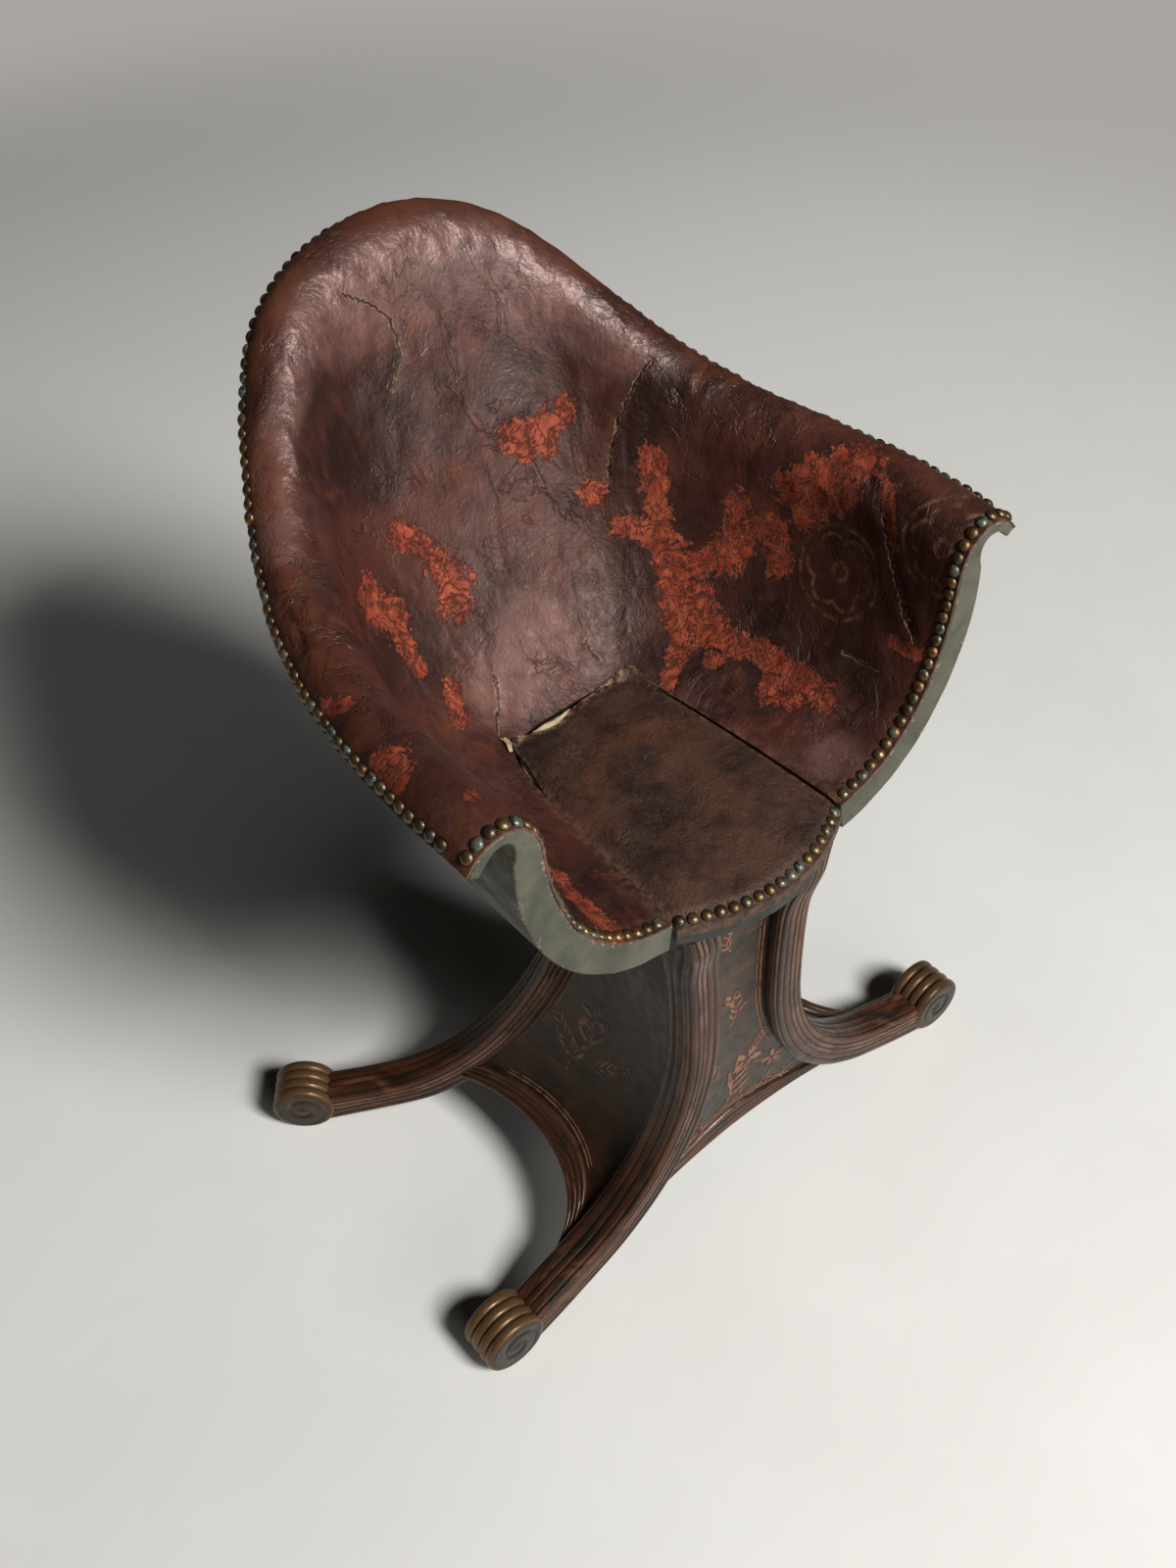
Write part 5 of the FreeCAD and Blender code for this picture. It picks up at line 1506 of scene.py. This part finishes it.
ribbons = {
    "rise": 0.00035, "sunk": 0.0006, "lineWidth": 0.0013, "planCount": 400,
    # double lines: distance from the leg or the arch, and share of the line's width
    "sideLines": ((0.0205, 1.0), (0.0245, 0.6)), "sideRun": (0.01, 0.52, 90),
    "archLines": ((0.030, 1.0), (0.034, 0.6)), "archRun": (0.20, 0.80, 120), "archEvening": 4,
}
sprigs = {
    "leafSteps": 8, "leafEnds": (0.04, 0.92), "leafPower": 0.8, "stemTaper": 0.5, "stemSteps": 6,
    "petals": 5, "petalIn": 0.25, "petalWidth": 0.48, "sprayStem": 0.0011, "spraySway": 0.12,
    "sprayBends": 5, "sprayPoints": 6, "leafSpread": (0.6, 1.1), "leafLength": (0.28, 0.42),
    "leafWidth": 0.06, "leafBend": 0.5, "flower": 0.24, "fernLeaves": 6, "fernFrom": 0.05,
    "fernSpread": 0.7, "fernLength": 0.36, "fernTaper": (1.15, 0.7), "fernWidth": 0.045,
    # vines along the arch, from its two ends to its middle: (sideways, height over the band)
    "vineStarts": (-0.080, 0.086), "vineOver": (0.001, 0.009), "vineLift": 0.005, "vineCurls": 5,
    "vineStem": 0.0010, "curl": 0.0075, "curlTurn": 4.2, "curlIn": 6.0, "curlSteps": 9,
    "curlStem": 0.0009, "vineLeaf": (0.9, 0.012, 0.0020, 0.6),
    # what grows on the front and back, and on the sides: foot, size and lean, with a seed for a spray
    "broad": [("spray", (-0.014, 0.112), 0.060, -0.6, 1), ("fern", (-0.018, 0.165), 0.050, 0.4),
              ("spray", (-0.046, 0.112), 0.036, 0.15, 2), ("spray", (-0.006, 0.338), 0.034, 0.1, 3),
              ("stem", ((0.014, 0.146), (0.030, 0.148), (0.047, 0.138)), 0.0014),
              ("flower", (0.049, 0.138), 0.011, 0.4), ("fern", (0.020, 0.165), 0.034, -0.5),
              ("spray", (-0.004, 0.232), 0.038, -0.15, 6)],
    "narrow": [("spray", (-0.014, 0.132), 0.060, 0.2, 4), ("fern", (-0.026, 0.148), 0.046, 0.9),
               ("fern", (-0.002, 0.148), 0.040, -0.9), ("spray", (-0.008, 0.270), 0.034, -0.1, 5)],
}


def ribbonOn(name, across, share, width):  # a thin closed strip that follows points of a panel
    middle = panelPoint(name, across, share, ribbons["rise"])
    deep = panelPoint(name, across, share, -ribbons["sunk"])
    run = unit(np.gradient(middle, axis=0))
    side = unit(np.cross(run, middle - deep)) * (np.broadcast_to(width, len(middle)) / 2)[:, None]
    face, under = (np.stack([line - side, line + side], 1) for line in (middle, deep))
    points, faces, _ = latticeSkin(np.stack([face, under], 2))
    return points, faces, {}


def panelFromPlan(name, x, z):  # (sideways from the middle, height) in metres to (across, share)
    share = np.linspace(0, panel["end"], ribbons["planCount"])
    one, two = legPair(name, share)
    height = (one[:, 2] + two[:, 2]) / 2
    at = np.interp(-np.asarray(z), -height, share)
    return 0.5 + x / np.interp(at, share, np.linalg.norm(two - one, axis=1)), at


def borderLines(name):  # double lines beside the legs and over the arch
    r = ribbons
    strips = []
    share = np.linspace(*r["sideRun"])
    one, two = legPair(name, share)
    wide = np.linalg.norm(two - one, axis=1)
    for offset, width in r["sideLines"]:
        for across in (offset / wide, 1 - offset / wide):
            strips.append(ribbonOn(name, across, share, r["lineWidth"] * width))
    across = np.linspace(*r["archRun"])
    end = archShare(name, across, r["archEvening"])
    speed = downSpeed(name, across, end)
    for offset, width in r["archLines"]:
        strips.append(ribbonOn(name, across, end - offset / speed, r["lineWidth"] * width))
    return strips


def leafOn(name, root, angle, length, width, bend=0.0):  # a leaf or petal: a bent line, pointed at its ends
    steps, (start, run) = sprigs["leafSteps"], sprigs["leafEnds"]
    t = np.linspace(0, 1, steps + 1)
    turn = (angle + bend * t)[:-1]
    x = root[0] + np.concatenate([[0], np.cumsum(np.cos(turn))]) * length / steps
    z = root[1] + np.concatenate([[0], np.cumsum(np.sin(turn))]) * length / steps
    across, share = panelFromPlan(name, x, z)
    return ribbonOn(name, across, share, width * np.sin(np.pi * (start + run * t))**sprigs["leafPower"])


def stemOn(name, points, width):  # a smooth line through points, thinner towards its end
    line = throughPoints(points, sprigs["stemSteps"] * len(points))
    across, share = panelFromPlan(name, line[:, 0], line[:, 1])
    taper = 1 - sprigs["stemTaper"] * np.linspace(0, 1, len(line))
    return [ribbonOn(name, across, share, width * taper)]


def flowerOn(name, middle, radius, turn):  # petals round a middle
    gap = sprigs["petalIn"] * radius
    angles = turn + np.arange(sprigs["petals"]) * 2 * math.pi / sprigs["petals"]
    return [leafOn(name, (middle[0] + gap * math.cos(a), middle[1] + gap * math.sin(a)), a, radius,
                   radius * sprigs["petalWidth"]) for a in angles]


def sprayOn(name, foot, scale, lean, seed):  # stem with paired leaves and a flower at its head
    s = sprigs
    rng = np.random.default_rng(seed)
    a = math.pi / 2 + lean
    t = np.linspace(0, 1, s["sprayPoints"])
    sway = math.cos(a) * t + s["spraySway"] * np.sin(s["sprayBends"] * t + seed)
    stem = np.array(foot) + scale * np.stack([sway, math.sin(a) * t], -1)
    strips = stemOn(name, stem, s["sprayStem"])
    for spot in stem[1:-1]:
        for hand in (-1, 1):
            turn = a + hand * rng.uniform(*s["leafSpread"])
            length = scale * rng.uniform(*s["leafLength"])
            strips.append(leafOn(name, spot, turn, length, scale * s["leafWidth"], -hand * s["leafBend"]))
    return strips + flowerOn(name, stem[-1], scale * s["flower"], seed)


def fernOn(name, foot, scale, lean):  # feathered leaf: pairs of leaves, shorter towards its tip
    s = sprigs
    a = math.pi / 2 + lean
    most, less = s["fernTaper"]
    strips = []
    for t in np.linspace(s["fernFrom"], 1, s["fernLeaves"]):
        spot = (foot[0] + scale * t * math.cos(a), foot[1] + scale * t * math.sin(a))
        length = scale * s["fernLength"] * (most - less * t)
        for hand in (-1, 1):
            strips.append(leafOn(name, spot, a + hand * s["fernSpread"], length, scale * s["fernWidth"],
                                 -hand * s["leafBend"]))
    return strips


def vineOn(name, start, end):  # scrolling border: a wave with a curl and a leaf at each crest
    s = sprigs
    curls = s["vineCurls"]

    def spine(t):  # straight run with a wave on it
        lifted = lerp(start[1], end[1], t) + s["vineLift"] * np.sin(t * curls * math.pi)
        return np.stack([lerp(start[0], end[0], t), lifted], -1)

    strips = stemOn(name, spine(np.linspace(0, 1, 3 * curls + 1)), s["vineStem"])
    turn = np.linspace(0, s["curlTurn"], s["curlSteps"])
    spin = s["curl"] * (1 - turn / s["curlIn"])
    lean, length, width, bend = s["vineLeaf"]
    for k in range(curls):
        hand = 1 if k % 2 == 0 else -1
        root = spine((k + 0.5) / curls)
        curl = root + np.stack([spin * np.sin(turn), -hand * (s["curl"] - spin * np.cos(turn))], -1)
        strips += stemOn(name, curl, s["curlStem"])
        strips.append(leafOn(name, root, lean * hand, length, width, bend * hand))
    return strips


def makeOrnament():  # border lines and sprigs of each panel, with vines on the front and back
    makers = {"spray": sprayOn, "fern": fernOn, "stem": stemOn, "flower": flowerOn}
    for name in panel["pairs"]:
        points, faces, _ = joined(borderLines(name))
        dress(makePiece("copperLines" + name.title(), points, faces), finishes["line"], "lacquer")
        broad = name in ("front", "back")
        strips = []
        for kind, *values in sprigs["broad" if broad else "narrow"]:
            strips += makers[kind](name, *values)
        if broad:
            low, high = (panel["arches"][name][3] + panel["band"] + over for over in sprigs["vineOver"])
            for start in sprigs["vineStarts"]:
                strips += vineOn(name, (start, low), (0.0, high))
        points, faces, _ = joined(strips)
        paint = finishes["sprig" if broad else "faintSprig"]
        dress(makePiece("paintedSprigs" + name.title(), points, faces), paint, "lacquer")


makeOrnament()
print("ornament painted")


# CAD nodes that stay as they are

for nodeName, finish in (("top_board", "darkBoard"), ("leg_dowels", "timber"), ("corner_blocks", "timber"),
                         ("shell_screws", "iron")):
    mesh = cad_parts[nodeName].data
    mesh.materials.clear()
    mesh.materials.append(finishes[finish])


# floor, light and camera

stage = {"floor": colour(0.73, 0.715, 0.675), "floorDark": colour(0.69, 0.675, 0.635), "floorScale": 3.0,
         "paintedShadeNearFloor": colour(0.22, 0.216, 0.205), "paintedLightFarFloor": colour(0.93, 0.91, 0.865),
         "black": colour(0.0, 0.0, 0.0), "roughness": 0.7, "size": 60.0, "frontY": (-1.7, -0.55),
         "backY": (-0.3, 1.3), "studioMiddle": (0.0, 0.75, 0.0), "studioReach": (1.45, 2.4),
         "world": colour(0.50, 0.48, 0.45), "worldStrength": 0.010, "backdrop": 0.78, "backdropGloss": 0.08,
         "key": {"from": (0.41, -2.95, 3.13), "size": (1.1, 1.1), "power": 222.0},
         "fill": {"from": (0.2, -3.1, 1.10), "size": (3.4, 0.9), "power": 37.0}, "aim": (0.0, 0.0, 0.45)}


def backdropStrength(tree):  # camera rays see the backdrop, mirrored rays a tenth of it
    ray = addNode(tree, "ShaderNodeLightPath").outputs
    mirrored = mathOf(tree, "ADD", ray["Is Glossy Ray"], ray["Is Transmission Ray"])
    return mathOf(tree, "MULTIPLY_ADD", ray["Is Camera Ray"], stage["backdrop"],
                  times(tree, mirrored, stage["backdropGloss"]))


def makeFloor():  # lit floor near the chair, with painted light towards the back and painted shade towards the lamps, that gives way to the backdrop's own colour
    size = stage["size"]
    points = [[-size, -size, 0], [size, -size, 0], [size, size, 0], [-size, size, 0]]
    floorMesh = bpy.data.meshes.new("floor")
    floorMesh.from_pydata(points, [], [[0, 1, 2, 3]])
    floor = bpy.data.objects.new("floor", floorMesh)
    bpy.context.collection.objects.link(floor)
    material, tree, shader, place = newMaterial("paleFloor")
    tint = mottled(tree, place, stage["floorScale"], 0.3, 0.7, stage["floorDark"], stage["floor"])
    deep = addNode(tree, "ShaderNodeSeparateXYZ", {0: place}).outputs["Y"]
    # painted light: the floor's colour lighter towards the back, where the lamps give less light
    tint = mixOf(tree, stepOf(tree, deep, *stage["backY"]), tint, stage["paintedLightFarFloor"])
    # painted shade: the floor's colour darker towards the lamps in front, where they give more light, which
    # also cuts their bounce
    tint = mixOf(tree, lineOf(tree, deep, *stage["frontY"]), tint, stage["paintedShadeNearFloor"])
    reach = addNode(tree, "ShaderNodeVectorMath", {0: place, 1: stage["studioMiddle"]},
                    operation="DISTANCE").outputs["Value"]
    away = stepOf(tree, reach, *stage["studioReach"])
    tree.links.new(mixOf(tree, away, tint, stage["black"]), shader.inputs["Base Color"])
    shader.inputs["Emission Color"].default_value = stage["world"]
    tree.links.new(times(tree, away, backdropStrength(tree)), shader.inputs["Emission Strength"])
    shader.inputs["Roughness"].default_value = stage["roughness"]
    floorMesh.materials.append(material)


def turnedTo(place, right, up, back):  # matrix of an object with these axes at a place
    turn = np.eye(4)
    turn[:3, :3] = np.stack([right, up, back], -1)
    turn[:3, 3] = place
    return Matrix(turn.tolist())


def makeLights():  # two lamps aimed at the chair, and the world
    for name in ("key", "fill"):
        lamp = bpy.data.lights.new(name + "Light", "AREA")
        lamp.shape = "RECTANGLE"
        lamp.size, lamp.size_y = stage[name]["size"]
        lamp.energy = stage[name]["power"]
        light = bpy.data.objects.new(name + "Light", lamp)
        place = np.array(stage[name]["from"])
        back = unit(place - np.array(stage["aim"]))
        right = unit(np.cross(upward, back))
        light.matrix_world = turnedTo(place, right, np.cross(back, right), back)
        bpy.context.collection.objects.link(light)
    world = bpy.data.worlds.new("softWorld")
    world.use_nodes = True
    tree = world.node_tree
    sky = tree.nodes["Background"].inputs
    sky["Color"].default_value = stage["world"]
    tree.links.new(mathOf(tree, "ADD", backdropStrength(tree), stage["worldStrength"]), sky["Strength"])
    bpy.context.scene.world = world


def makeCamera():  # the solved camera
    right, up, forward = cameraAxes()
    lens = bpy.data.cameras.new("photoCamera")
    lens.lens = camera["lens"]
    lens.sensor_width = camera["sensor"]
    view = bpy.data.objects.new("photoCamera", lens)
    view.matrix_world = turnedTo(camera["place"], right, up, -forward)
    bpy.context.collection.objects.link(view)
    bpy.context.scene.camera = view


makeFloor()
makeLights()
makeCamera()
bpy.context.scene.view_settings.view_transform = "Standard"
print("stage set")
